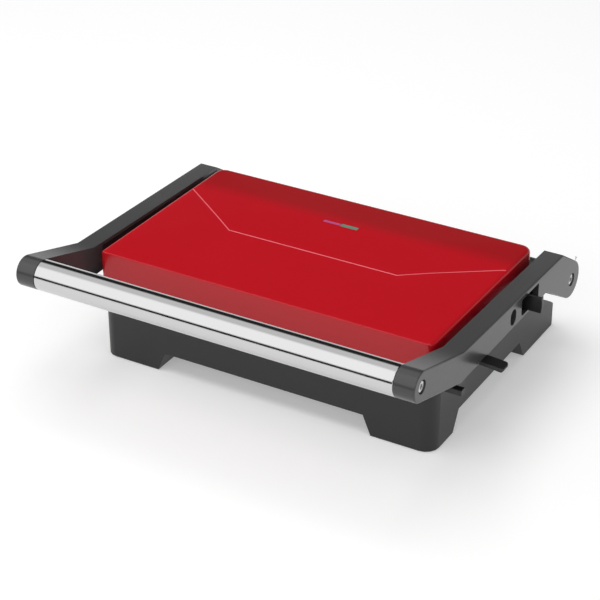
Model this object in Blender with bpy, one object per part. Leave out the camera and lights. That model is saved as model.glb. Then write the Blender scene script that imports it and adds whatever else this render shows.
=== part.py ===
"""A contact grill: a faceted lid that floats between two side arms, above a black base.

The grill's own frame has X to the right, -Y to the front and Z up from the table.
Its zero is the middle of the base; the empty that carries everything shifts it so that
the zero of the world is under the middle of the whole object.
"""

from math import acos, atan2, cos, degrees, hypot, pi, radians, sin

import bmesh
import bpy
from mathutils import Vector

# Fits
FIT = 0.0003  # gap between two pieces that touch
RUN = 0.0004  # gap beside a piece that turns or slides
OVERRUN = 0.002  # how far a cut runs past the face that it opens

# Facets on round forms
ROUND_STEPS = 20
SMALL_STEPS = 12
CORNER_STEPS = 4
TUBE_SIDES = 8
SMOOTH_ANGLE = radians(32)

# Base housing
BASE_WIDTH = 0.261
BASE_DEPTH = 0.198
BASE_HEIGHT = 0.050
BASE_WALL = 0.0025
BASE_FRONT_CORNER = 0.010
BASE_REAR_CORNER = 0.005
SKIRT_BELOW_RIM = 0.0348
FLOOR_THICKNESS = 0.0048
LEDGE_WIDTH = 0.0045
LEDGE_THICKNESS = 0.003
FOOT_CLEARANCE = 0.0006
FOOT_WIDTH = 0.0460
FOOT_FRONT_DEPTH = 0.0305
FOOT_REAR_DEPTH = 0.0540
FOOT_SLANT = 0.006  # of the flanks that face across the grill
FOOT_SLANT_DEPTH = 0.008  # of the flanks that face along it
FOOT_FLOOR = 0.003
DECK_DEPTH = 0.041
DECK_BELOW_RIM = 0.020
DECK_DROP = 0.013
TOWER_WIDTH = 0.010
TOWER_INSET = 0.006  # from the side of the base to the tower's outer face
TOWER_RADIUS = 0.0085
TOWER_ROOT = 0.0125  # half its length where it leaves the deck
PEG_LENGTH = 0.0145
PEG_DEPTH = 0.0057
PEG_HEIGHT = 0.0045
PEG_BACK = 0.0099  # from the front of the base to the peg
PEG_BELOW_RIM = 0.0008
PEG_ROUND = 0.0010

# Rubber foot pads
PAD_RADIUS = 0.007
PAD_THICKNESS = 0.0015
PAD_INSET = 0.0135  # from the sides of the base to the pad's middle

# Bottom cover and the screws through it
COVER_THICKNESS = 0.0018
COVER_MARGIN = 0.0152  # inside the sides of the base
COVER_CLEAR = 0.0029  # from the feet, where they meet the skirt
COVER_CORNER = 0.006
COVER_LIP = 0.0155  # how far the floor reaches in under the cover's edge
LOUVRE_LENGTH = 0.034
LOUVRE_WIDTH = 0.003
LOUVRE_PITCH = 0.009
LOUVRE_COUNT = 7
LOUVRE_APART = 0.050  # middle of the grill to the middle of each row
SCREW_INSET = 0.012  # inside the sides of the plate's body
SCREW_FROM_EDGE = 0.008  # inside the front and rear edges of the cover
SCREW_RADIUS = 0.0017
SCREW_HEAD_RADIUS = 0.0035
SCREW_HEAD_HEIGHT = 0.0017
SCREW_POINT = 0.0010
COLUMN_RADIUS = 0.0045

# Cooking plates
PLATE_MARGIN = 0.0045  # inside the sides of the base
PLATE_INSET = 0.003  # inside the front and rear of the lid
PLATE_CORNER = 0.006
FLANGE_WIDTH = 0.0065
FLANGE_THICKNESS = 0.002
BODY_CORNER = 0.005
BODY_DROP = 0.0038  # body reaches this far below the flange
DISH_RISE = 0.0030  # cooking floor above the flange's lower face
RIM_WIDTH = 0.0030
RIB_HEIGHT = 0.0023
RIB_PITCH = 0.0092
RIB_FOOT = 0.0046
RIB_CREST = 0.0024
RIB_END = 0.004  # from the rim to the ribs' ends
BOSS_HEIGHT = 0.0022
BOSS_RADIUS = 0.0045
SPOUT_WIDTH = 0.022

# Tubular heaters
HEATER_RADIUS = 0.00325
HEATER_SIDE_INSET = 0.033  # inside the plate's body
HEATER_FRONT_INSET = 0.0245
HEATER_REAR_INSET = 0.0195
HEATER_CORNER = 0.020
HEATER_BEND = 0.008
TERMINAL_APART = 0.018
TERMINAL_DROP = 0.0125

# Reflector pans, thermostats and the thermal fuse
PAN_SIDE_INSET = 0.020  # inside the plate's body
PAN_END_INSET = 0.0095
PAN_DEPTH = 0.0082
PAN_SHEET = 0.0008
PAN_CORNER = 0.008
PAN_HOLE = 0.011
TERMINAL_HOLE = 0.0048
SENSOR_RADIUS = 0.008
SENSOR_HEIGHT = 0.0050
SENSOR_NECK_RADIUS = 0.0052
SENSOR_NECK_HEIGHT = 0.0045
BLADE_WIDTH = 0.0040
BLADE_THICKNESS = 0.0008
BLADE_LENGTH = 0.0040
BLADE_APART = 0.0030
FUSE_RADIUS = 0.0025
FUSE_LENGTH = 0.012
FUSE_SIDE = 0.035

# Terminal block and cord gland
BLOCK_WIDTH = 0.030
BLOCK_DEPTH = 0.014
BLOCK_HEIGHT = 0.013
BLOCK_WELL_RADIUS = 0.0026
BLOCK_WELL_DEPTH = 0.005
BLOCK_WELLS = 3
GLAND_SIDE = 0.060
GLAND_BELOW_RIM = 0.010
GLAND_RADIUS = 0.0050
GLAND_BORE = 0.0032
GLAND_FLANGE_RADIUS = 0.0066
GLAND_FLANGE = 0.0020
GLAND_TAIL = 0.008
GLAND_TAIL_RADIUS = 0.0042

# Hinge
HINGE_INSET = 0.020  # from the rear of the base
HINGE_ABOVE_RIM = 0.001
SHOULDER_RADIUS = 0.0025
SHOULDER_THREAD = 0.0020
HEAD_RADIUS = 0.0042
HEAD_THICKNESS = 0.0020
SOCKET_RADIUS = 0.0019
SOCKET_DEPTH = 0.0012
INSERT_RADIUS = 0.0036
INSERT_SHORT = 0.0005
CAM_RADIUS = 0.0075
CAM_THICKNESS = 0.003
CAM_NOTCHES = 4
CAM_NOTCH = 0.0010

# Lid
LID_INSET = 0.0020  # inside the sides of the base
LID_OVERHANG = 0.0018  # in front of the base
LID_REAR_INSET = 0.0008  # before the rear wall of the tub
LID_HEIGHT = 0.0206
LID_WALL = 0.0025
LID_REAR_CORNER = 0.008
LID_FRONT_CORNER = 0.003
LID_EDGE_ROUND = 0.0034
FACET_DROP = 0.002
PLATEAU_SIDE_SHARE = 0.529
PLATEAU_REAR_SHARE = 0.755
CREASE_WIDTH = 0.0012
CREASE_DEPTH = 0.0005
CREASE_SIDE_SHARE = 0.518
CREASE_FRONT_SHARE = 0.446
CREASE_REAR_SHARE = 0.742

# Lid frame
FRAME_THICKNESS = 0.0018
FRAME_INSET = 0.0010
FRAME_GAP = 0.0006  # round the plate's body
UPSTAND_THICKNESS = 0.0020
UPSTAND_HEIGHT = 0.0078
TAB_THICKNESS = 0.0018
TAB_RADIUS = 0.0060

# Lights on the lid
LIGHT_FROM_REAR = 0.0416  # from the lid's rear
POWER_LEFT = 0.0158
POWER_RIGHT = 0.0022
POWER_WIDTH = 0.0026
READY_RIGHT = 0.0116
READY_WIDTH = 0.0036
LENS_APART = 0.0005
LENS_LIP = 0.0010
LENS_LIP_THICKNESS = 0.0010
LAMP_RADIUS = 0.0020
LAMP_LENGTH = 0.008
BOARD_WIDTH = 0.058
BOARD_DEPTH = 0.014
BOARD_THICKNESS = 0.0016
POST_RADIUS = 0.0025
POST_SIDE = 0.0240

# Float pins
PIN_RADIUS = 0.0025
PIN_RISE = 0.0072  # above the lower face of the lid frame
PIN_COLLAR = 0.005
PIN_IN_FRAME = 0.0052
PIN_END = 0.003  # short of the arm's outer face
PIN_BOSS_RADIUS = 0.0058
FLOAT_TRAVEL = 0.0045

# Side arms
ARM_GAP = 0.0063  # beside the lid
ARM_THICKNESS = 0.0147
ARM_FACE = 0.0045  # outer wall
ARM_RIM = 0.0024  # wall round the pocket
ARM_EDGE_ROUND = 0.0011
ARM_LOW_DROP = 0.0014  # lower edge, below the lid cover
ARM_BEND_BACK = 0.0033  # bend in the top edge, behind the lid's front
ARM_BEND_DROP = 0.0005  # and below the lid's top
ARM_TOP_FORWARD = 0.018  # rear end of the top edge, before the hinge
ARM_TOP_RISE = 0.028
ARM_BOTTOM_FORWARD = 0.045  # rear end of the lower edge, before the hinge
ARM_BOSS_RADIUS = 0.0138
POCKET_START = 0.0128  # behind the lid's front
RECESS_RADIUS = 0.0048
RECESS_DEPTH = 0.0032
OVAL_WIDTH = 0.0088
OVAL_HEIGHT = 0.0118
ARM_COVER_THICKNESS = 0.0018
HUB_RADIUS = 0.008

# Handle
HANDLE_RADIUS = 0.01075
HANDLE_WALL = 0.0010
HANDLE_REACH = 0.0552  # from the lid's front to the tube's middle
HANDLE_RISE = 0.006  # above the lid
PLUG_LENGTH = 0.018
HANDLE_SCREW_RADIUS = 0.0020
HANDLE_SCREW_LENGTH = 0.024

# Latch slider
LATCH_REAR = 0.0414  # behind the lid's front
LATCH_DEPTH = 0.0102
LATCH_THICKNESS = 0.0026
LATCH_REACH = 0.015  # outside the arm
LATCH_DROOP = 0.0012
LATCH_TIP = 0.0030
LATCH_CORNER = 0.0025
LATCH_TRAVEL = 0.010
LATCH_STEM_WIDTH = 0.0030
LATCH_STEM_DEPTH = 0.0040
LATCH_HEAD_WIDTH = 0.0054
LATCH_HEAD_THICKNESS = 0.0014
LEG_THICKNESS = 0.0040
LEG_FROM_BASE = 0.0015
LEG_DEPTH = 0.0056
TOE_DEPTH = 0.0094
TOE_HEIGHT = 0.0041
TOE_BELOW_PEG = 0.0006

# Release slider and its spring
WINDOW_FRONT = 0.0132  # behind the float pin
WINDOW_DEPTH = 0.0276
WINDOW_HEIGHT = 0.0127
WINDOW_CORNER = 0.0030
RELEASE_TRAVEL = 0.005
RELEASE_BACK = 0.0045  # tab behind the window's front, past its travel
RELEASE_TAB = 0.0030
RELEASE_BULGE = 0.0012
RELEASE_REACH = 0.010  # outside the arm
RELEASE_BODY_DEPTH = 0.012
RELEASE_BODY_HEIGHT = 0.0090
RELEASE_FRONT = 0.0042  # body in front of the tab
TONGUE_HEIGHT = 0.0030
TONGUE_WIDTH = 0.0050
FINGER_DEPTH = 0.0030
FINGER_BEFORE_HINGE = 0.0145
FINGER_RISE = 0.0015  # lowest point above the hinge's axis
SPRING_RADIUS = 0.0022
SPRING_WIRE = 0.00035
SPRING_TURNS = 6
SPRING_STEPS = 10
SPRING_LENGTH = 0.0110
STOP_RIB = 0.0015

# Places that follow from the sizes
BASE_HALF = BASE_WIDTH / 2
SKIRT_HEIGHT = BASE_HEIGHT - SKIRT_BELOW_RIM
BASE_FRONT = -BASE_DEPTH / 2
BASE_REAR = BASE_DEPTH / 2
FLOOR_TOP = SKIRT_HEIGHT + FLOOR_THICKNESS
TUB_REAR = BASE_REAR - DECK_DEPTH
DECK_HEIGHT = BASE_HEIGHT - DECK_BELOW_RIM
HINGE_Y = BASE_REAR - HINGE_INSET
HINGE_Z = BASE_HEIGHT + HINGE_ABOVE_RIM
TOWER_OUTER = BASE_HALF - TOWER_INSET

LID_HALF = BASE_HALF - LID_INSET
LID_FRONT = BASE_FRONT - LID_OVERHANG
LID_REAR = TUB_REAR - LID_REAR_INSET
LID_DEPTH = LID_REAR - LID_FRONT
PLATE_Y = (LID_FRONT + LID_REAR) / 2

PLATE_HALF = BASE_HALF - PLATE_MARGIN
PLATE_REACH = LID_DEPTH / 2 - PLATE_INSET
BODY_HALF = PLATE_HALF - FLANGE_WIDTH
BODY_REACH = PLATE_REACH - FLANGE_WIDTH
DISH_HALF = BODY_HALF - RIM_WIDTH
DISH_REACH = BODY_REACH - RIM_WIDTH
RIB_COUNT = int((2 * (DISH_HALF - RIB_END) - RIB_FOOT) / RIB_PITCH) + 1
HEATER_SIDE = BODY_HALF - HEATER_SIDE_INSET
HEATER_FRONT = PLATE_Y - BODY_REACH + HEATER_FRONT_INSET
HEATER_REAR = PLATE_Y + BODY_REACH - HEATER_REAR_INSET
PAN_SIDE = BODY_HALF - PAN_SIDE_INSET
PAN_REACH = BODY_REACH - PAN_END_INSET

FLANGE_Z = BASE_HEIGHT + FIT
BODY_Z = FLANGE_Z - BODY_DROP
DISH_Z = FLANGE_Z + DISH_RISE
CREST_Z = DISH_Z + RIB_HEIGHT
MATE_Z = CREST_Z + FIT
FRAME_Z = 2 * MATE_Z - FLANGE_Z + FIT
COVER_Z = FRAME_Z + FRAME_THICKNESS + FIT
LID_TOP = COVER_Z + LID_HEIGHT
PIN_Z = FRAME_Z + PIN_RISE

ARM_INNER = LID_HALF + ARM_GAP
ARM_OUTER = ARM_INNER + ARM_THICKNESS
POCKET_X = ARM_OUTER - ARM_FACE
ARM_LOW = COVER_Z - ARM_LOW_DROP
HANDLE_Y = LID_FRONT - HANDLE_REACH
HANDLE_Z = LID_TOP + HANDLE_RISE
SHELF_Z = ARM_LOW + ARM_RIM  # lower wall of the pocket

COVER_LOW = SKIRT_HEIGHT + FIT
COVER_HALF = BASE_HALF - COVER_MARGIN
COVER_FRONT = BASE_FRONT + FOOT_FRONT_DEPTH + FOOT_SLANT_DEPTH + COVER_CLEAR
COVER_REAR = BASE_REAR - FOOT_REAR_DEPTH - FOOT_SLANT_DEPTH - COVER_CLEAR
SCREW_SIDE = BODY_HALF - SCREW_INSET
SCREW_PLACES = [
    (side * SCREW_SIDE, y)
    for y in (COVER_FRONT + SCREW_FROM_EDGE, COVER_REAR - SCREW_FROM_EDGE)
    for side in (-1, 1)
]
LIGHT_Y = LID_REAR - LIGHT_FROM_REAR

# The whole object's middle, which the world's zero lies under
REACH_SIDE = ARM_OUTER + LATCH_REACH
MIDDLE_X = (REACH_SIDE - ARM_OUTER) / 2
MIDDLE_Y = (HANDLE_Y - HANDLE_RADIUS + BASE_REAR) / 2

# Colour, roughness and metallic value of each finish
BLACK_PLASTIC = ((0.030, 0.030, 0.032, 1), 0.42, 0.0)
ARM_PLASTIC = ((0.055, 0.055, 0.058, 1), 0.33, 0.0)
RED_PAINT = ((0.50, 0.010, 0.022, 1), 0.30, 0.0)
STEEL = ((0.56, 0.56, 0.57, 1), 0.28, 1.0)
BRASS = ((0.62, 0.45, 0.20, 1), 0.35, 1.0)
CAST_PLATE = ((0.020, 0.020, 0.021, 1), 0.50, 0.0)
SHEET_STEEL = ((0.50, 0.51, 0.52, 1), 0.38, 1.0)
RUBBER = ((0.018, 0.018, 0.018, 1), 0.80, 0.0)
CERAMIC = ((0.72, 0.68, 0.60, 1), 0.55, 0.0)
POWER_LENS = ((0.62, 0.10, 0.30, 1), 0.25, 0.0)
READY_LENS = ((0.24, 0.30, 0.24, 1), 0.25, 0.0)
LAMP_GLASS = ((0.80, 0.60, 0.50, 1), 0.15, 0.0)
BOARD_GREEN = ((0.05, 0.16, 0.07, 1), 0.50, 0.0)


# Outlines

def arc(centre, radius, start, end, steps):
    """Points on an arc, from one angle to the other, in degrees."""
    angles = [radians(start + (end - start) * i / steps) for i in range(steps + 1)]
    return [(centre[0] + radius * cos(a), centre[1] + radius * sin(a)) for a in angles]


def rectangle(left, right, low, high, corners, steps=CORNER_STEPS):
    """A rectangle whose corners are rounded: front left, front right, rear right, rear left."""
    if isinstance(corners, (int, float)):
        corners = (corners,) * 4
    places = [(left, low, 1, 1), (right, low, -1, 1), (right, high, -1, -1), (left, high, 1, -1)]
    points = []
    for (x, y, toward_x, toward_y), radius, start in zip(places, corners, (180, 270, 0, 90)):
        if radius > 0:
            centre = (x + toward_x * radius, y + toward_y * radius)
            points += arc(centre, radius, start, start + 90, steps)
        else:
            points.append((x, y))
    return points


def stadium(centre, width, height, steps=6):
    """An upright slot with round ends."""
    radius = width / 2
    rise = max(height / 2 - radius, 0)
    top = arc((centre[0], centre[1] + rise), radius, 0, 180, steps)
    bottom = arc((centre[0], centre[1] - rise), radius, 180, 360, steps)
    return top + bottom if rise > 0 else top + bottom[1:-1]


def circle(centre, radius, steps=ROUND_STEPS):
    """A closed ring of points."""
    return arc(centre, radius, 0, 360, steps)[:-1]


def tangent_angle(point, centre, radius, side):
    """Angle on a circle, in degrees, where a line from the point touches it."""
    away = (point[0] - centre[0], point[1] - centre[1])
    distance = hypot(*away)
    return degrees(atan2(away[1], away[0]) + side * acos(radius / distance))


def inset(outline, distance):
    """The outline, which runs anticlockwise, moved inwards by the distance."""
    moved = []
    count = len(outline)
    for i in range(count):
        before = Vector(outline[i - 1])
        here = Vector(outline[i])
        after = Vector(outline[(i + 1) % count])
        into = (here - before).normalized()
        out = (after - here).normalized()
        normal = Vector((-into.y - out.y, into.x + out.x)).normalized()
        stretch = max(normal.dot(Vector((-into.y, into.x))), 0.3)
        moved.append(tuple(here + normal * distance / stretch))
    return moved


def clip_behind(outline, limit):
    """The part of an outline whose first coordinate is at least the limit."""
    kept = []
    for i, here in enumerate(outline):
        before = outline[i - 1]
        if (here[0] >= limit) != (before[0] >= limit):
            share = (limit - before[0]) / (here[0] - before[0])
            kept.append((limit, before[1] + share * (here[1] - before[1])))
        if here[0] >= limit:
            kept.append(here)
    return kept


# Solids

def place_point(axis, a, b, along):
    """A point in space from its two outline coordinates and its place along the axis."""
    return {"X": (along, a, b), "Y": (a, along, b), "Z": (a, b, along)}[axis]


def loft(rings, closed=False):
    """A solid through rings with the same number of points; closed, it joins end to start."""
    mesh = bmesh.new()
    loops = [[mesh.verts.new(point) for point in ring] for ring in rings]
    pairs = list(zip(loops, loops[1:]))
    if closed:
        pairs.append((loops[-1], loops[0]))
    for near, far in pairs:
        for i in range(len(near)):
            j = (i + 1) % len(near)
            mesh.faces.new((near[i], near[j], far[j], far[i]))
    if not closed:
        mesh.faces.new(loops[0])
        mesh.faces.new(loops[-1])
    return as_object(mesh)


def as_object(mesh):
    """Turn a bmesh into an object with its faces pointing out."""
    bmesh.ops.recalc_face_normals(mesh, faces=mesh.faces)
    data = bpy.data.meshes.new("solid")
    mesh.to_mesh(data)
    mesh.free()
    made = bpy.data.objects.new("solid", data)
    bpy.context.scene.collection.objects.link(made)
    return made


def prism(outline, axis, low, high):
    """An outline drawn straight along an axis."""
    return loft([[place_point(axis, a, b, along) for a, b in outline] for along in (low, high)])


def edged_prism(outline, axis, low, high, radius, steps=3):
    """A prism whose rim at the high end is rounded."""
    rings = [(low, 0)]
    for i in range(steps + 1):
        angle = pi / 2 * i / steps
        rings.append((high - radius * (1 - sin(angle)), radius * (1 - cos(angle))))
    return loft([
        [place_point(axis, a, b, along) for a, b in inset(outline, depth)]
        for along, depth in rings
    ])


def box(x, y, z):
    """A plain block from three pairs of limits."""
    return prism([(x[0], y[0]), (x[1], y[0]), (x[1], y[1]), (x[0], y[1])], "Z", *z)


def turned(profile, axis, centre, steps=ROUND_STEPS, closed=False):
    """A turned solid from (along, radius) points; closed, the profile goes round a bore."""
    rings = [
        [place_point(axis, a, b, along) for a, b in circle(centre, radius, steps)]
        for along, radius in profile
    ]
    return loft(rings, closed)


def rod(axis, centre, low, high, radius, steps=SMALL_STEPS):
    """A plain cylinder."""
    return turned([(low, radius), (high, radius)], axis, centre, steps)


def tube_along(path, radius, sides=TUBE_SIDES):
    """A round tube swept along a path in space."""
    points = [Vector(point) for point in path]
    heading = (points[1] - points[0]).normalized()
    across = heading.orthogonal().normalized()
    rings = []
    for i, point in enumerate(points):
        before = points[max(i - 1, 0)]
        after = points[min(i + 1, len(points) - 1)]
        turn = (after - before).normalized()
        across = (across - turn * across.dot(turn)).normalized()
        up = turn.cross(across)
        angles = [2 * pi * side / sides for side in range(sides)]
        rings.append([tuple(point + radius * (across * cos(a) + up * sin(a))) for a in angles])
    return loft(rings)


def least_gap(path, radius, apart):
    """Smallest gap that a tube leaves to itself, among points some steps apart along it."""
    points = [Vector(point) for point in path]
    return min(
        (here - there).length - 2 * radius
        for i, here in enumerate(points) for there in points[i + apart:]
    )


def evaluated(target):
    """Replace an object's mesh by the one that its modifiers make."""
    bpy.context.view_layer.update()
    graph = bpy.context.evaluated_depsgraph_get()
    made = bpy.data.meshes.new_from_object(target.evaluated_get(graph))
    target.modifiers.clear()
    target.data = made
    return target


def combine(target, tools, operation):
    """Apply a Boolean with each tool, and remove the tools."""
    for tool in tools:
        step = target.modifiers.new("step", "BOOLEAN")
        step.operation = operation
        step.object = tool
    evaluated(target)
    for tool in tools:
        bpy.data.objects.remove(tool)
    return target


def cut(target, *tools):
    """Take the tools out of the target."""
    return combine(target, tools, "DIFFERENCE")


def fuse(target, *tools):
    """Join the tools to the target as one solid."""
    return combine(target, tools, "UNION")


def common(target, tool):
    """Keep what the target shares with the tool."""
    return combine(target, [tool], "INTERSECT")


def map_points(target, rule):
    """Move each point of an object by a rule, and keep its faces pointing out."""
    mesh = bmesh.new()
    mesh.from_mesh(target.data)
    for vert in mesh.verts:
        vert.co = rule(vert.co)
    bmesh.ops.recalc_face_normals(mesh, faces=mesh.faces)
    mesh.to_mesh(target.data)
    mesh.free()
    return target


def to_left(target):
    """Mirror a piece of the right-hand side to the left."""
    return map_points(target, lambda p: Vector((-p.x, p.y, p.z)))


def upside_down(target):
    """Turn a piece of the lower plate over, on to the upper one."""
    return map_points(target, lambda p: Vector((-p.x, p.y, 2 * MATE_Z - p.z)))


# Assembly

def finish(target, name, look, carrier, smooth=True):
    """Name a piece, give it its own material and hang it on its carrier."""
    target.name = name
    target.data.name = name
    if smooth:
        target.data.shade_smooth()
        target.data.set_sharp_from_angle(angle=SMOOTH_ANGLE)
    material = bpy.data.materials.new(name + "_finish")
    material.use_nodes = True
    shader = material.node_tree.nodes["Principled BSDF"]
    colour, roughness, metallic = look
    shader.inputs["Base Color"].default_value = colour
    shader.inputs["Roughness"].default_value = roughness
    shader.inputs["Metallic"].default_value = metallic
    target.data.materials.clear()
    target.data.materials.append(material)
    hub = Vector(carrier["place"])
    map_points(target, lambda p: p - hub)
    target.parent = carrier
    return target


def carrier(name, place, parent=None):
    """An empty on a joint's axis; its place is kept in the grill's own frame."""
    empty = bpy.data.objects.new(name, None)
    bpy.context.scene.collection.objects.link(empty)
    empty["place"] = place
    if parent:
        empty.parent = parent
        empty.location = Vector(place) - Vector(parent["place"])
    else:
        empty.location = (-MIDDLE_X, -MIDDLE_Y, 0)
    return empty


# Base

def deck_height(y):
    """Top of the sloping rear deck."""
    return DECK_HEIGHT - DECK_DROP / DECK_DEPTH * (y - TUB_REAR)


def base_outline(depth=0):
    """Plan of the base, moved inwards by the depth."""
    front = BASE_FRONT_CORNER - depth
    rear = BASE_REAR_CORNER - depth
    side = BASE_HALF - depth
    return rectangle(-side, side, BASE_FRONT + depth, BASE_REAR - depth, (front, front, rear, rear))


def tub_outline(depth):
    """Plan of the hollow in front of the deck."""
    front = BASE_FRONT_CORNER - depth
    side = BASE_HALF - depth
    return rectangle(
        -side, side, BASE_FRONT + depth, TUB_REAR - depth,
        (front, front, BASE_WALL, BASE_WALL),
    )


def foot_channels():
    """The two arches that leave four feet, one along Y and one along X."""
    inner = BASE_HALF - FOOT_WIDTH
    low = FOOT_CLEARANCE - OVERRUN
    below = OVERRUN / (SKIRT_HEIGHT - FOOT_CLEARANCE)
    spread = FOOT_SLANT * below
    sides = [
        (-inner - spread, low), (inner + spread, low),
        (inner - FOOT_SLANT, SKIRT_HEIGHT), (-inner + FOOT_SLANT, SKIRT_HEIGHT),
    ]
    front = BASE_FRONT + FOOT_FRONT_DEPTH
    rear = BASE_REAR - FOOT_REAR_DEPTH
    spread = FOOT_SLANT_DEPTH * below
    ends = [
        (front - spread, low), (rear + spread, low),
        (rear - FOOT_SLANT_DEPTH, SKIRT_HEIGHT), (front + FOOT_SLANT_DEPTH, SKIRT_HEIGHT),
    ]
    return (
        prism(sides, "Y", BASE_FRONT - OVERRUN, BASE_REAR + OVERRUN),
        prism(ends, "X", -BASE_HALF - OVERRUN, BASE_HALF + OVERRUN),
    )


def foot_wells():
    """Hollows in the four feet; the front ones open into the tub, the rear ones downwards."""
    inner = BASE_HALF - FOOT_WIDTH + BASE_WALL
    outer = BASE_HALF - BASE_WALL
    front = (BASE_FRONT + BASE_WALL, BASE_FRONT + FOOT_FRONT_DEPTH - BASE_WALL)
    front_round = BASE_FRONT_CORNER - BASE_WALL
    front_plan = rectangle(inner, outer, *front, (0, front_round, 0, 0))
    rear_plan = rectangle(inner, outer, TUB_REAR, BASE_REAR - BASE_WALL, 0)
    wells = []
    for plan, low, high in (
        (front_plan, FOOT_CLEARANCE + FOOT_FLOOR, FLOOR_TOP + FIT),
        (rear_plan, FOOT_CLEARANCE - OVERRUN, SKIRT_HEIGHT + FIT),
    ):
        wells.append(prism(plan, "Z", low, high))
        wells.append(to_left(prism(plan, "Z", low, high)))
    return wells


def pad_block():
    """The block in the right rear foot's corner that holds its pad, up to the deck."""
    size = PAD_INSET + PAD_RADIUS + BASE_WALL
    front = BASE_REAR - size
    rear = BASE_REAR - BASE_WALL / 2
    outline = [
        (front, FOOT_CLEARANCE), (rear, FOOT_CLEARANCE),
        (rear, deck_height(rear) - BASE_WALL / 2), (front, deck_height(front) - BASE_WALL / 2),
    ]
    return prism(outline, "X", BASE_HALF - size, BASE_HALF - BASE_WALL / 2)


def hinge_tower():
    """One of the two bearings that stand on the deck, with the hole for its insert."""
    front = HINGE_Y - TOWER_ROOT
    rear = HINGE_Y + TOWER_ROOT
    centre = (HINGE_Y, HINGE_Z)
    deep = BASE_WALL / 2
    front_foot = (front, deck_height(front) - deep)
    rear_foot = (rear, deck_height(rear) - deep)
    start = tangent_angle(rear_foot, centre, TOWER_RADIUS, 1)
    end = tangent_angle(front_foot, centre, TOWER_RADIUS, -1)
    outline = [front_foot, rear_foot] + arc(centre, TOWER_RADIUS, start, end % 360, 12)
    tower = prism(outline, "X", TOWER_OUTER - TOWER_WIDTH, TOWER_OUTER)
    bore = rod("X", centre, TOWER_OUTER - TOWER_WIDTH - OVERRUN, TOWER_OUTER + OVERRUN,
               INSERT_RADIUS + FIT, SMALL_STEPS)
    return cut(tower, bore)


def peg_low():
    """Lower face of the keeper peg."""
    return BASE_HEIGHT - PEG_BELOW_RIM - PEG_HEIGHT


def keeper_peg():
    """The peg on the right side that the latch's toe goes under."""
    front = BASE_FRONT + PEG_BACK
    outline = rectangle(
        front, front + PEG_DEPTH, peg_low(), peg_low() + PEG_HEIGHT, PEG_ROUND, 2
    )
    return prism(outline, "X", BASE_HALF - BASE_WALL, BASE_HALF + PEG_LENGTH)


def gland_centre():
    """Middle of the cord gland in the tub's rear wall."""
    return (-GLAND_SIDE, BASE_HEIGHT - GLAND_BELOW_RIM)


def cover_limits(gap=0):
    """Plan limits of the bottom cover: side, front and rear."""
    return COVER_HALF + gap, COVER_FRONT - gap, COVER_REAR + gap


def base_housing():
    """The moulded tub with its feet, deck, towers, columns and keeper peg."""
    body = prism(base_outline(), "Z", FOOT_CLEARANCE, BASE_HEIGHT)
    far = BASE_REAR + OVERRUN
    high = BASE_HEIGHT + OVERRUN
    over_deck = [
        (TUB_REAR, deck_height(TUB_REAR)), (far, deck_height(far)), (far, high), (TUB_REAR, high),
    ]
    wide = BASE_HALF + OVERRUN
    cut(body, prism(over_deck, "X", -wide, wide), *foot_channels())

    ledge_low = BASE_HEIGHT - LEDGE_THICKNESS
    cut(
        body,
        prism(tub_outline(BASE_WALL), "Z", FLOOR_TOP, ledge_low),
        prism(tub_outline(BASE_WALL + LEDGE_WIDTH), "Z", ledge_low - FIT, high),
    )
    side = BASE_HALF - BASE_WALL
    rear = BASE_REAR - BASE_WALL
    low = SKIRT_HEIGHT - FIT
    under_deck = [
        (TUB_REAR, low), (rear, low),
        (rear, deck_height(rear) - BASE_WALL), (TUB_REAR, deck_height(TUB_REAR) - BASE_WALL),
    ]
    cut(body, prism(under_deck, "X", -side, side), *foot_wells())

    cover_side, cover_front, cover_rear = cover_limits(FIT)
    rebate = rectangle(-cover_side, cover_side, cover_front, cover_rear, COVER_CORNER)
    opening_side = cover_side - COVER_LIP
    opening = rectangle(
        -opening_side, opening_side, cover_front + COVER_LIP, cover_rear - COVER_LIP, COVER_CORNER
    )
    rebate_top = COVER_LOW + COVER_THICKNESS + FIT
    cut(
        body,
        prism(rebate, "Z", SKIRT_HEIGHT - OVERRUN, rebate_top),
        prism(opening, "Z", SKIRT_HEIGHT, FLOOR_TOP + OVERRUN),
    )

    column_top = BODY_Z - BOSS_HEIGHT - FIT
    column_low = FLOOR_TOP - FLOOR_THICKNESS / 2
    columns = [rod("Z", spot, column_low, column_top, COLUMN_RADIUS) for spot in SCREW_PLACES]
    blocks = [pad_block(), to_left(pad_block())]
    fuse(body, hinge_tower(), to_left(hinge_tower()), keeper_peg(), *blocks, *columns)
    holes = [
        rod("Z", spot, SKIRT_HEIGHT - OVERRUN, column_top + OVERRUN, SCREW_RADIUS + FIT)
        for spot in SCREW_PLACES
    ]
    gland = rod("Y", gland_centre(), TUB_REAR - BASE_WALL - OVERRUN, TUB_REAR + OVERRUN,
                GLAND_RADIUS + FIT, SMALL_STEPS)
    pads = [
        rod("Z", spot, FOOT_CLEARANCE - OVERRUN, PAD_THICKNESS + FIT, PAD_RADIUS + FIT, ROUND_STEPS)
        for spot in pad_places()
    ]
    return cut(body, gland, *holes, *pads)


def pad_places():
    """Middles of the four rubber pads."""
    side = BASE_HALF - PAD_INSET
    return [
        (x, y) for y in (BASE_FRONT + PAD_INSET, BASE_REAR - PAD_INSET) for x in (-side, side)
    ]


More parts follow.
